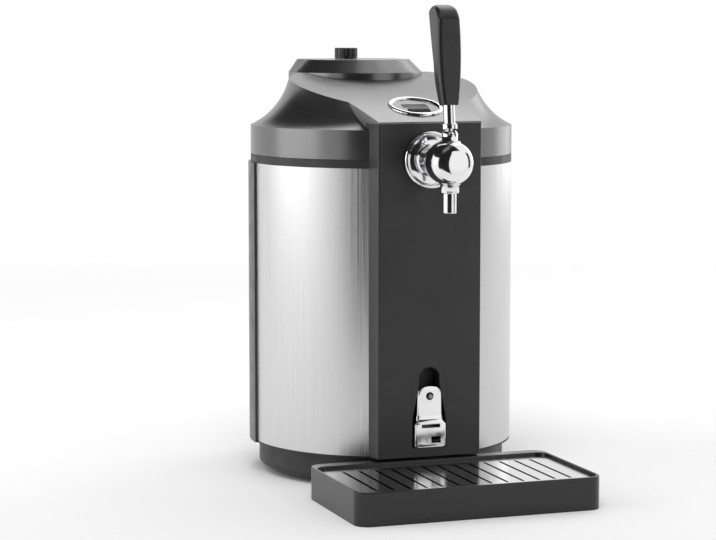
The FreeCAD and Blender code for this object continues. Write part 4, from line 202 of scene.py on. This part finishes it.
def prepare_finishes():
    """Makes each material once, from the colours in the panel."""
    cabinet = bpy.context.scene.dispenser_cabinet
    black, steel = tuple(cabinet.black), tuple(cabinet.steel)
    plated = tuple(bpy.context.scene.dispenser_tap.plated)
    for made in (
        moulded_plastic("panel_black", black, 0.34),
        moulded_plastic("lid_black", black, 0.26, depth=0.00001, ior=2.3, wear=0.05),
        moulded_plastic("base_black", shade(black, 0.7), 0.5),
        moulded_plastic("cover_black", shade(black, 0.85), 0.36, ior=1.7),
        moulded_plastic("tray_black", shade(black, 0.6), 0.2),
        moulded_plastic("handle_black", shade(black, 0.9), 0.3),
        moulded_plastic("switch_black", shade(black, 0.6), 0.25),
        moulded_plastic("button_black", (0.03, 0.03, 0.032), 0.6, ior=1.15),
        moulded_plastic("liner_grey", (0.42, 0.42, 0.43), 0.5),
        moulded_plastic("ceramic_white", (0.8, 0.8, 0.77), 0.45),
        brushed_metal("side_steel", steel, cabinet.steel_roughness, UPRIGHT_BRUSHING),
        brushed_metal("plate_steel", shade(steel, 1.05), 0.16, LENGTHWISE_BRUSHING, 0.3),
        cast_metal("frame_zinc", (0.58, 0.6, 0.62)),
        brushed_metal("well_aluminium", (0.78, 0.79, 0.8), 0.3, LEVEL_BRUSHING),
        cast_metal("block_aluminium", (0.76, 0.77, 0.78)),
        polished_metal("tap_chrome", plated),
        # a black at half the panel's level: painted shade for the dark inside the niche, given to the mouth's
        # inner walls
        moulded_plastic("niche_painted_shade", shade(black, 0.5), 0.5),
        cast_metal("screw_steel", (0.62, 0.62, 0.63), 0.3),
        cast_metal("bush_brass", (0.7, 0.5, 0.2), 0.3),
        soft_rubber("seal_rubber"),
        soft_rubber("foot_rubber", (0.025, 0.025, 0.025)),
        rigid_foam("foam_cream"),
        circuit_board("board_green"),
        window_glass("window_dark"),
    ):
        FINISHES[made.name] = made


def dress(finish, *nodes):
    """Gives CAD nodes a finish."""
    for name in nodes:
        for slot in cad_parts[name].material_slots:
            slot.material = FINISHES[finish]


# ---------------------------------------------------------------- mesh helpers

def placed(name, data):
    """An object in the scene for a mesh, a lamp's data or a camera's."""
    made = bpy.data.objects.new(name, data)
    bpy.context.collection.objects.link(made)
    return made


def circle(radius, count):
    turns = [2 * math.pi * step / count for step in range(count)]
    return [(radius * math.cos(turn), radius * math.sin(turn)) for turn in turns]


def closed_mesh(name, outlines):
    """A closed mesh through outlines of equal length, with a face over the first and the last."""
    count = len(outlines[0])
    last = (len(outlines) - 1) * count
    faces = []
    for low in range(0, last, count):
        high = low + count
        for index in range(count):
            following = (index + 1) % count
            faces.append((low + index, low + following, high + following, high + index))
    faces.append(tuple(range(count)))
    faces.append(tuple(range(last, last + count)))
    mesh = bpy.data.meshes.new(name)
    mesh.from_pydata([point for outline in outlines for point in outline], [], faces)
    shaped = bmesh.new()
    shaped.from_mesh(mesh)
    bmesh.ops.recalc_face_normals(shaped, faces=shaped.faces)
    shaped.to_mesh(mesh)
    shaped.free()
    return mesh


def soften(mesh, angle=35):
    """Shades a mesh smooth, apart from the edges that turn by more than an angle in degrees."""
    mesh.polygons.foreach_set("use_smooth", [True] * len(mesh.polygons))
    mesh.set_sharp_from_angle(angle=math.radians(angle))


def solid(name, outlines, body, finish):
    """A closed piece through outlines of equal length that rides on a CAD body."""
    mesh = closed_mesh(name, outlines)
    soften(mesh)
    mesh.materials.append(FINISHES[finish])
    made = placed(name, mesh)
    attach(made, body)
    return made


def combine(piece, tool, operation):
    """Changes a piece by a boolean operation with a tool, and removes the tool."""
    boolean = piece.modifiers.new("shape", "BOOLEAN")
    boolean.operation = operation
    boolean.solver = "EXACT"
    boolean.object = tool
    bpy.context.view_layer.update()
    shown = piece.evaluated_get(bpy.context.evaluated_depsgraph_get())
    shaped = bpy.data.meshes.new_from_object(shown)
    piece.modifiers.clear()
    piece.data = shaped
    bpy.data.objects.remove(tool)


def cut(piece, low, high, drum=False):
    """Takes the box between two corners out of a piece, or the drum from front to back that fills it."""
    shaped = bmesh.new()
    if drum:
        bmesh.ops.create_cone(shaped, cap_ends=True, segments=48, radius1=0.5, radius2=0.5, depth=1,
                              matrix=Matrix.Rotation(math.radians(90), 4, "X"))
    else:
        bmesh.ops.create_cube(shaped, size=1)
    size = [high[axis] - low[axis] for axis in range(3)]
    middle = [(high[axis] + low[axis]) / 2 for axis in range(3)]
    bmesh.ops.transform(shaped, matrix=Matrix.Translation(middle) @ Matrix.Diagonal((*size, 1)),
                        verts=shaped.verts)
    mesh = bpy.data.meshes.new("cutter")
    shaped.to_mesh(mesh)
    shaped.free()
    combine(piece, placed("cutter", mesh), "DIFFERENCE")


# ---------------------------------------------------------------- settings

class CabinetSettings(bpy.types.PropertyGroup):
    """Colours of the cabinet's steel and plastic."""
    black: FloatVectorProperty(
        name="Moulded black", description="Colour of the plastic mouldings",
        default=(0.016, 0.016, 0.0175), min=0, max=1, size=3, subtype="COLOR")
    steel: FloatVectorProperty(
        name="Steel", description="Colour of the brushed side sheets",
        default=(0.66, 0.66, 0.66), min=0, max=1, size=3, subtype="COLOR")
    steel_roughness: FloatProperty(
        name="Steel roughness", description="How much the brushing blurs reflections",
        default=0.34, min=0.05, max=1, subtype="FACTOR")


class TapSettings(bpy.types.PropertyGroup):
    """Plating of the tap and the opener, and the form of the tap's barrel."""
    plated: FloatVectorProperty(
        name="Plating", description="Colour of the chromium plating",
        default=(0.86, 0.86, 0.87), min=0, max=1, size=3, subtype="COLOR")
    barrel_trim: FloatProperty(
        name="Barrel trim", description="How far the rounded barrel lies inside the frame's",
        default=0.7 * MM, min=0.1 * MM, max=3 * MM, unit="LENGTH")
    barrel_fullness: FloatProperty(
        name="Barrel fullness", description="2 is an ellipse, more is squarer", default=3.4, min=2, max=6)
    barrel_taper: FloatProperty(
        name="Barrel taper", description="Length of the rear half's curve over the front half's",
        default=1.5, min=1.05, max=3)


class OpenerSettings(bpy.types.PropertyGroup):
    """Sizes of the bottle opener and of the niche's mouth."""
    plate_width: FloatProperty(
        name="Opener plate", description="Width of the opener's plate",
        default=25.4 * MM, min=15 * MM, max=32 * MM, unit="LENGTH")
    mouth_top: FloatProperty(
        name="Niche mouth", description="Half the niche's width above the opener",
        default=10.4 * MM, min=6 * MM, max=17 * MM, unit="LENGTH")


class StageSettings(bpy.types.PropertyGroup):
    """Floor and lamps."""
    floor_colour: FloatVectorProperty(
        name="Floor", description="Colour of the floor", default=(0.93, 0.93, 0.93),
        min=0, max=1, size=3, subtype="COLOR")
    ambient: FloatProperty(
        name="Ambient light", description="Level of the light from all round", default=0.5, min=0, max=3)
    sun: FloatProperty(
        name="Main light", description="Strength of the main light", default=1.1, min=0, max=10)


# ---------------------------------------------------------------- cabinet, cooler, lid and display

class DISPENSER_OT_cabinet(bpy.types.Operator):
    """Finishes the cabinet: steel sides, panel, collar, base and rear cover"""
    bl_idname = "dispenser.cabinet"
    bl_label = "Cabinet"

    def execute(self, context):
        dress("side_steel", "steel_left", "steel_right")
        dress("panel_black", "front_panel")
        dress("base_black", "base_pan", "top_collar")
        dress("cover_black", "rear_cover")
        dress("foot_rubber", "rubber_feet")
        dress("well_aluminium", "keg_well")
        dress("foam_cream", "well_foam")
        return {"FINISHED"}


class DISPENSER_OT_cooler(bpy.types.Operator):
    """Finishes the cooler and its electrics behind the well"""
    bl_idname = "dispenser.cooler"
    bl_label = "Cooler"

    def execute(self, context):
        dress("frame_zinc", "rear_frame")
        dress("block_aluminium", "cold_block", "heat_sink")
        dress("ceramic_white", "thermoelectric_cell")
        dress("switch_black", "fan_frame", "fan_rotor", "power_inlet", "power_switch", "switch_rocker")
        dress("screw_steel", "temperature_sensor", "fan_screws", "cover_screws")
        dress("board_green", "power_board", "control_board")
        return {"FINISHED"}


class DISPENSER_OT_lid(bpy.types.Operator):
    """Finishes the lid, its seal and what its room holds"""
    bl_idname = "dispenser.lid"
    bl_label = "Lid"

    def execute(self, context):
        dress("lid_black", "lid_shell")
        dress("liner_grey", "lid_liner")
        dress("foam_cream", "lid_foam")
        dress("seal_rubber", "lid_gasket")
        dress("screw_steel", "lid_screws", "hinge_pin")
        dress("handle_black", "regulator_knob")
        dress("block_aluminium", "regulator_body", "cartridge_sleeve")
        return {"FINISHED"}


class DISPENSER_OT_display(bpy.types.Operator):
    """Finishes the round display in the roof"""
    bl_idname = "dispenser.display"
    bl_label = "Display"

    def execute(self, context):
        dress("tap_chrome", "display_bezel")
        dress("lid_black", "display_dial")
        dress("window_dark", "display_window")
        dress("board_green", "display_board")
        dress("button_black", "set_button")
        return {"FINISHED"}


# ---------------------------------------------------------------- tap

BARREL_STEPS, BARREL_SIDES = 48, 64
POLE_SHARE = 0.004       # share of the half turn that a small flat face takes up at each end
STEM_RADIUS = 10.5 * MM  # the upright stem, which keeps what is above and below the barrel
STEM_OVERRUN = 2 * MM    # how far it runs past the body at each end
STEM_SIDES = 48


class DISPENSER_OT_tap(bpy.types.Operator):
    """Finishes the lever tap and rounds off its barrel"""
    bl_idname = "dispenser.tap"
    bl_label = "Tap"

    def execute(self, context):
        dress("tap_chrome", "tap_flange", "tap_shank", "tap_nut", "tap_coupling", "tap_spout",
              "tap_bonnet", "tap_lever")
        dress("bush_brass", "tap_plunger", "handle_insert")
        dress("seal_rubber", "tap_washer", "tap_seal")
        dress("handle_black", "tap_handle")
        self.barrel(context.scene.dispenser_tap)
        return {"FINISHED"}

    def barrel(self, settings):
        """The tap's body with its barrel rounded off, bored and slotted as the frame has it."""
        low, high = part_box("tap_body")
        middle_y = (low.y + high.y) / 2
        form = self.rounded_form(settings, high.x - settings.barrel_trim, low.y, middle_y)
        post = [[(x, middle_y + y, height) for x, y in circle(STEM_RADIUS, STEM_SIDES)]
                for height in (low.z - STEM_OVERRUN, high.z + STEM_OVERRUN)]
        combine(form, placed("stem_form", closed_mesh("stem_form", post)), "UNION")
        piece = placed("tap_barrel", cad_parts["tap_body"].data.copy())
        piece.matrix_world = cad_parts["tap_body"].matrix_world.copy()
        combine(piece, form, "INTERSECT")
        soften(piece.data, 30)
        piece.data.materials.clear()
        piece.data.materials.append(FINISHES["tap_chrome"])
        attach(piece, "cabinet")
        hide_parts("tap_body")

    def rounded_form(self, settings, radius, face_y, middle_y):
        """A superellipse turned about the coupling's axis, longer behind its middle than in front."""
        coupling_low, coupling_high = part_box("tap_coupling")
        axis_z = (coupling_low.z + coupling_high.z) / 2
        front = middle_y - face_y
        back = front * settings.barrel_taper
        power = 2 / settings.barrel_fullness
        outlines = []
        for step in range(BARREL_STEPS + 1):
            turn = math.pi * (POLE_SHARE + (1 - 2 * POLE_SHARE) * step / BARREL_STEPS)
            along = math.copysign(abs(math.cos(turn)) ** power, -math.cos(turn))
            y = middle_y + (front if along < 0 else back) * along
            around = circle(radius * math.sin(turn) ** power, BARREL_SIDES)
            outlines.append([(x, y, axis_z + z) for x, z in around])
        return placed("barrel_form", closed_mesh("barrel_form", outlines))


# ---------------------------------------------------------------- niche and opener

# the niche, from the frame's opener and panel
NICHE_SIDE = 1.3 * MM      # beyond the opener's side
NICHE_RISE = 18.2 * MM     # from the opener's top to the mouth's
WAIST_RISE = 2 * MM        # from the opener's top to where the mouth starts to widen
HOOD_RISE = 28 * MM        # from the opener's foot to the hood's top

# the moulded surround of the mouth
MOUTH_SIDE = 0.7 * MM      # inside the niche's side, where the mouth is wide
MOUTH_DROP = 0.3 * MM      # below the opener
MOUTH_STOP = 1.3 * MM      # before the niche's back
SURROUND_DROP = 0.95 * MM  # below the opener
SURROUND_CROWN = 0.7 * MM  # above the mouth's top
SURROUND_GAP = 0.1 * MM    # behind the panel's face and before the niche's back
EDGE_WIDTH = 0.5 * MM      # the mouth's broken edge, across the face
EDGE_DEPTH = 0.7 * MM      # the same, behind the panel's face
STRAIGHT_STEPS = 10
CROWN_STEPS = 16

# the casting: its plate
PLATE_STAND = 0.6 * MM     # before the panel's face
PLATE_CROWN = 9 * MM       # height of the rounded top
CROWN_POWER = 0.55         # below 1 the top is fuller than an ellipse
CORNER = 2.4 * MM          # radius of the front corners
CORNER_SHARE = 0.6         # the most of the half width that it takes

# the casting: its hood
HOOD_SIDE = 1.6 * MM       # inside the niche's side
HOOD_EDGE = 1 * MM         # its broken edges, above and below
HOOD_SHARES = (0, 0.06, 0.2, 0.5, 0.8, 0.94, 1)
SHOULDER = 4 * MM          # height of the fall from the hood to the plate, above and below the hood's top
FLANK_DROP = 2.2 * MM      # the middle of the fall, below the hood's top
FLANK_SIDE = 2.6 * MM      # there, inside the hood's side
FLANK_STAND = 0.8 * MM     # there, before the plate's face
NECK_SIDE = 1.2 * MM       # beyond the plate's side at the hood's top
NECK_END_SIDE = 0.3 * MM   # beyond the plate's side where the fall ends

# the casting: what is cut from it
WALL = 3 * MM
ROOM_DROP = 2 * MM         # from the opener's foot down to where the room in the hood starts
ROOM_TOP = 6 * MM          # from the hood's top down to the room's
CUT_START = 1 * MM         # before the hood's front
CUT_END = 6 * MM           # behind the hood's front
SLOT_HALF = 9.6 * MM
SLOT_LOW, SLOT_HIGH = 9 * MM, 5.4 * MM           # below the hood's top
WINDOW_LEFT, WINDOW_RIGHT = 0.3 * MM, 10.2 * MM  # right of the middle
WINDOW_LOW, WINDOW_HIGH = 4 * MM, 10.6 * MM      # above the opener's foot
HOLE_RADIUS = 3.9 * MM
HOLE_START = 3 * MM        # before the panel's face
HOLE_END = 1 * MM          # behind the niche's back


class Niche:
    """The niche's sizes, read from the panel and the opener of the frame."""

    def __init__(self):
        panel_low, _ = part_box("front_panel")
        low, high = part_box("bottle_opener")
        screw_low, screw_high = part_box("opener_screw")
        self.face = panel_low.y
        self.back = high.y
        self.front = low.y
        self.bottom = low.z
        self.half = high.x + NICHE_SIDE
        self.top = high.z + NICHE_RISE
        self.waist = high.z + WAIST_RISE
        self.hood = low.z + HOOD_RISE
        self.plate_top = high.z
        self.screw = (screw_low + screw_high) / 2


def mouth_half(height, niche):
    """Half the width of the niche's mouth at a height: narrow above the opener, wide round the hood."""
    narrow = bpy.context.scene.dispenser_opener.mouth_top
    wide = niche.half - MOUTH_SIDE
    share = (niche.waist - height) / (niche.waist - niche.hood)
    return narrow + (wide - narrow) * min(max(share, 0), 1)


def arch(right, radius, centre):
    """An outline up the right side, over a half circle and down the mirrored left side."""
    turns = [math.pi * step / CROWN_STEPS for step in range(1, CROWN_STEPS)]
    over = [(radius * math.cos(turn), centre + radius * math.sin(turn)) for turn in turns]
    return right + over + [(-x, z) for x, z in reversed(right)]


def heights(low, high):
    return [low + (high - low) * step / STRAIGHT_STEPS for step in range(STRAIGHT_STEPS + 1)]


def mouth_outline(niche, widened=0.0):
    """The tapered mouth of the niche, from its lower right corner over the top to its lower left one."""
    radius = mouth_half(niche.top, niche) + widened
    centre = niche.top - radius + widened
    right = [(mouth_half(height, niche) + widened, height)
             for height in heights(niche.bottom - MOUTH_DROP - widened, centre)]
    return arch(right, radius, centre)


def surround_outline(niche):
    """The surround's straight outer edge, with as many points as the mouth."""
    centre = niche.top + SURROUND_CROWN - niche.half
    right = [(niche.half, height) for height in heights(niche.bottom - SURROUND_DROP, centre)]
    return arch(right, niche.half, centre)


class DISPENSER_OT_opener(bpy.types.Operator):
    """Makes the cast bottle opener that fills the niche, and the niche's tapered mouth"""
    bl_idname = "dispenser.opener"
    bl_label = "Bottle opener"

    def execute(self, context):
        dress("screw_steel", "opener_screw")
        niche = Niche()
        self.mouth(niche)
        self.casting(niche, context.scene.dispenser_opener.plate_width / 2)
        return {"FINISHED"}

    def mouth(self, niche):
        """The moulded surround, just behind the panel's face, that narrows the niche above the opener; its
        inner walls behind the broken edge take a black at half the panel's level, painted shade for the dark
        inside the niche.
        """
        outer, inner = surround_outline(niche), mouth_outline(niche)
        front = niche.face + SURROUND_GAP
        broken = niche.face + EDGE_DEPTH
        levels = [(outer, niche.back - SURROUND_GAP), (outer, front),
                  (mouth_outline(niche, EDGE_WIDTH), front), (inner, broken),
                  (inner, niche.back - MOUTH_STOP)]
        outlines = [[(x, y, z) for x, z in outline] for outline, y in levels]
        mouth = solid("niche_mouth", outlines, "cabinet", "niche_painted_shade")
        mouth.data.materials.append(FINISHES["panel_black"])
        # faces behind the broken edge take the darker black, painted shade for the niche's inside; those in
        # front take the panel's black
        for face in mouth.data.polygons:
            face.material_index = int(face.center.y < broken)

    def casting(self, niche, plate_half):
        """A plated casting: a plate at the panel's face that swells into a hollow hood below."""
        outlines = [self.section(niche, *level) for level in self.levels(niche, plate_half)]
        piece = solid("opener_casting", outlines, "cabinet", "tap_chrome")
        room_half = niche.half - HOOD_SIDE - WALL
        cut(piece, (-room_half, niche.front + WALL, niche.bottom - ROOM_DROP),
            (room_half, niche.back - WALL, niche.hood - ROOM_TOP))
        start, end = niche.front - CUT_START, niche.front + CUT_END
        cut(piece, (-SLOT_HALF, start, niche.hood - SLOT_LOW), (SLOT_HALF, end, niche.hood - SLOT_HIGH))
        cut(piece, (WINDOW_LEFT, start, niche.bottom + WINDOW_LOW),
            (WINDOW_RIGHT, end, niche.bottom + WINDOW_HIGH))
        x, z = niche.screw.x, niche.screw.z
        cut(piece, (x - HOLE_RADIUS, niche.face - HOLE_START, z - HOLE_RADIUS),
            (x + HOLE_RADIUS, niche.back + HOLE_END, z + HOLE_RADIUS), drum=True)
        soften(piece.data)
        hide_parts("bottle_opener")

    def levels(self, niche, plate_half):
        """The height, half width and front of each level section, from the hood's foot to the plate's top."""
        hood_half = niche.half - HOOD_SIDE
        plate_face = niche.face - PLATE_STAND
        crown_foot = niche.plate_top - PLATE_CROWN
        levels = []
        for share in HOOD_SHARES:
            height = niche.bottom + (niche.hood - SHOULDER - niche.bottom) * share
            edge = HOOD_EDGE if share in (0, 1) else 0
            levels.append((height, hood_half - edge, niche.front + edge))
        levels.append((niche.hood - FLANK_DROP, hood_half - FLANK_SIDE, plate_face - FLANK_STAND))
        levels.append((niche.hood, plate_half + NECK_SIDE, plate_face))
        levels.append((niche.hood + SHOULDER, plate_half + NECK_END_SIDE, plate_face))
        levels.append((crown_foot, plate_half, plate_face))
        for turn in map(math.radians, range(10, 100, 10)):
            height = crown_foot + PLATE_CROWN * math.sin(turn)
            levels.append((height, plate_half * math.cos(turn) ** CROWN_POWER, plate_face))
        return levels

    def section(self, niche, height, half, front):
        """A level outline, square at the niche's back and with rounded corners in front."""
        corner = min(CORNER, half * CORNER_SHARE)
        right = [(half, niche.back, height)]
        for turn in map(math.radians, range(0, 105, 15)):
            right.append((half - corner + corner * math.cos(turn),
                          front + corner - corner * math.sin(turn), height))
        return right + [(-x, y, z) for x, y, z in reversed(right)]


# ---------------------------------------------------------------- drip tray

class DISPENSER_OT_drip_tray(bpy.types.Operator):
    """Finishes the drip tray and its plate"""
    bl_idname = "dispenser.drip_tray"
    bl_label = "Drip tray"

    def execute(self, context):
        dress("tray_black", "drip_tray")
        dress("plate_steel", "drip_plate")
        return {"FINISHED"}


# ---------------------------------------------------------------- stage

FLOOR_HALF = 14
SUN_PLACE = (-1.2, -2.4, 4.2)
SUN_ANGLE = 35
AIM_HEIGHT = 0.2
SOFTBOXES = (
    # name, watts, place, the height it is aimed at, width and height
    ("left_softbox", 13, (-2.0, 0.3, 0.8), AIM_HEIGHT, (1.8, 1.4)),
    ("right_softbox", 7, (1.8, 0.9, 0.8), AIM_HEIGHT, (1.2, 1.4)),
    ("top_softbox", 8, (0.5, 0.9, 1.7), 0.3, (1.4, 1.2)),
)
CARD_COLOUR = (0.02, 0.02, 0.02)
CARD_STEPS = 24
CARDS = (
    # name, first and last bearing in degrees, (distance, height) along the profile
    ("front_card", 219, 281, ((0.95, 0.02), (0.95, 1.5))),
    ("right_card", 318, 335, ((1.5, 0.02), (1.5, 0.9))),
    ("upper_card", 92, 300, ((0.02, 1.35), (0.95, 1.35), (1.5, 0.9))),
)
CAMERA_PLACE = (-0.807868, -2.146322, 0.456483)
CAMERA_TILT, CAMERA_TURN = 83.8, -19.51
CAMERA_LENS = 117.15
CAMERA_REACH = 60


def seen_or_mirrored(tree):
    """1 where the camera looks at a thing directly, in a reflection or through glass."""
    rays = tree.nodes.new("ShaderNodeLightPath").outputs
    either = rays["Is Camera Ray"]
    for ray in ("Is Glossy Ray", "Is Transmission Ray"):
        larger = tree.nodes.new("ShaderNodeMath")
        larger.operation = "MAXIMUM"
        tree.links.new(either, larger.inputs[0])
        tree.links.new(rays[ray], larger.inputs[1])
        either = larger.outputs[0]
    return either


def studio_world(ambient):
    """White to the camera and in reflections, a soft grey as light."""
    world = bpy.data.worlds.new("studio")
    bpy.context.scene.world = world
    world.use_nodes = True
    nodes, links = world.node_tree.nodes, world.node_tree.links
    nodes.clear()
    light = nodes.new("ShaderNodeBackground")
    light.inputs["Strength"].default_value = ambient
    white = nodes.new("ShaderNodeBackground")
    mixed = nodes.new("ShaderNodeMixShader")
    links.new(seen_or_mirrored(world.node_tree), mixed.inputs[0])
    links.new(light.outputs[0], mixed.inputs[1])
    links.new(white.outputs[0], mixed.inputs[2])
    out = nodes.new("ShaderNodeOutputWorld")
    links.new(mixed.outputs[0], out.inputs["Surface"])
    for background in (light, white):
        background.inputs["Color"].default_value = (1, 1, 1, 1)


def lamp(name, kind, energy, place, aim_height):
    """Places a lamp that shines at a height above the middle of the floor, and returns its data."""
    data = bpy.data.lights.new(name, kind)
    data.energy = energy
    made = placed(name, data)
    made.location = place
    aim = Vector((0, 0, aim_height)) - Vector(place)
    made.rotation_euler = aim.to_track_quat("-Z", "Y").to_euler()
    return data


def studio_paper(name, colour, clear=0.7, white=2.2):
    """Pale paper that keeps the shadow near the object and runs out to plain white beyond it."""
    made = Finish(name, colour, roughness=0.9, Specular_Ior_Level=0.0)
    made.tint(made.noise(3), shade(colour, 0.99), colour)
    reach = made.node("VectorMath")
    reach.operation = "LENGTH"
    made.tree.links.new(made.coordinates, reach.inputs[0])
    away = made.between(reach.outputs["Value"], 0, 1, clear, white)
    faded = made.node("Math")
    faded.operation = "MULTIPLY"
    made.tree.links.new(away, faded.inputs[0])
    made.tree.links.new(seen_or_mirrored(made.tree), faded.inputs[1])
    glow = made.node("Emission")
    mixed = made.node("MixShader")
    made.tree.links.new(faded.outputs[0], mixed.inputs[0])
    made.tree.links.new(made.shader.outputs[0], mixed.inputs[1])
    made.tree.links.new(glow.outputs[0], mixed.inputs[2])
    made.tree.links.new(mixed.outputs[0], made.tree.nodes["Material Output"].inputs["Surface"])
    return made.material


def dark_card(name, start, end, profile):
    """A dark card round the middle of the floor that polished surfaces mirror, which gives them contrast."""
    points = []
    for step in range(CARD_STEPS + 1):
        turn = math.radians(start + (end - start) * step / CARD_STEPS)
        points += [(reach * math.cos(turn), reach * math.sin(turn), height) for reach, height in profile]
    rows = len(profile)
    faces = []
    for step in range(CARD_STEPS):
        for row in range(rows - 1):
            corner = step * rows + row
            faces.append((corner, corner + rows, corner + rows + 1, corner + 1))
    mesh = bpy.data.meshes.new(name)
    mesh.from_pydata(points, [], faces)
    mesh.polygons.foreach_set("use_smooth", [True] * len(faces))
    card = placed(name, mesh)
    cloth = Finish(name + "_cloth", CARD_COLOUR, roughness=0.95, Specular_Ior_Level=0.0)
    cloth.tint(cloth.noise(6), shade(CARD_COLOUR, 0.8), CARD_COLOUR)
    mesh.materials.append(cloth.material)
    card.visible_camera = card.visible_diffuse = card.visible_shadow = False


class DISPENSER_OT_stage(bpy.types.Operator):
    """Sets the floor, the soft lamps, the cards and the camera"""
    bl_idname = "dispenser.stage"
    bl_label = "Stage"

    def execute(self, context):
        settings = context.scene.dispenser_stage
        self.floor(tuple(settings.floor_colour))
        studio_world(settings.ambient)
        sun = lamp("main_light", "SUN", settings.sun, SUN_PLACE, AIM_HEIGHT)
        sun.angle = math.radians(SUN_ANGLE)
        for name, watts, place, aim_height, size in SOFTBOXES:
            softbox = lamp(name, "AREA", watts, place, aim_height)
            softbox.shape = "RECTANGLE"
            softbox.size, softbox.size_y = size
        for card in CARDS:
            dark_card(*card)
        self.camera(context.scene)
        context.scene.view_settings.view_transform = "Standard"
        return {"FINISHED"}

    def floor(self, colour):
        half = FLOOR_HALF
        mesh = bpy.data.meshes.new("floor")
        mesh.from_pydata([(-half, -half, 0), (half, -half, 0), (half, half, 0), (-half, half, 0)], [],
                         [(0, 1, 2, 3)])
        floor = placed("floor", mesh)
        mesh.materials.append(studio_paper("floor_paper", colour))

    def camera(self, scene):
        data = bpy.data.cameras.new("studio_camera")
        data.lens = CAMERA_LENS
        data.clip_end = CAMERA_REACH
        camera = placed("studio_camera", data)
        camera.location = CAMERA_PLACE
        camera.rotation_euler = (math.radians(CAMERA_TILT), 0, math.radians(CAMERA_TURN))
        scene.camera = camera


# ---------------------------------------------------------------- panel and registration

OPERATORS = (
    DISPENSER_OT_cabinet, DISPENSER_OT_cooler, DISPENSER_OT_lid, DISPENSER_OT_display, DISPENSER_OT_tap,
    DISPENSER_OT_opener, DISPENSER_OT_drip_tray, DISPENSER_OT_stage,
)
GROUPS = {
    "dispenser_cabinet": CabinetSettings,
    "dispenser_tap": TapSettings,
    "dispenser_opener": OpenerSettings,
    "dispenser_stage": StageSettings,
}


class DISPENSER_PT_sidebar(bpy.types.Panel):
    """Settings and steps of the keg dispenser"""
    bl_idname = "DISPENSER_PT_sidebar"
    bl_label = "Keg dispenser"
    bl_space_type = "VIEW_3D"
    bl_region_type = "UI"
    bl_category = "Dispenser"

    def draw(self, context):
        for name, group in GROUPS.items():
            column = self.layout.column()
            for setting in group.__annotations__:
                column.prop(getattr(context.scene, name), setting)
        for operator in OPERATORS:
            self.layout.operator(operator.bl_idname)


CLASSES = (*GROUPS.values(), *OPERATORS, DISPENSER_PT_sidebar)


def register():
    for kind in CLASSES:
        bpy.utils.register_class(kind)
    for name, group in GROUPS.items():
        setattr(bpy.types.Scene, name, PointerProperty(type=group))


def unregister():
    for name in GROUPS:
        delattr(bpy.types.Scene, name)
    for kind in reversed(CLASSES):
        bpy.utils.unregister_class(kind)


def main():
    register()
    prepare_finishes()
    for operator in OPERATORS:
        group, name = operator.bl_idname.split(".")
        getattr(getattr(bpy.ops, group), name)()


if __name__ == "__main__":
    main()
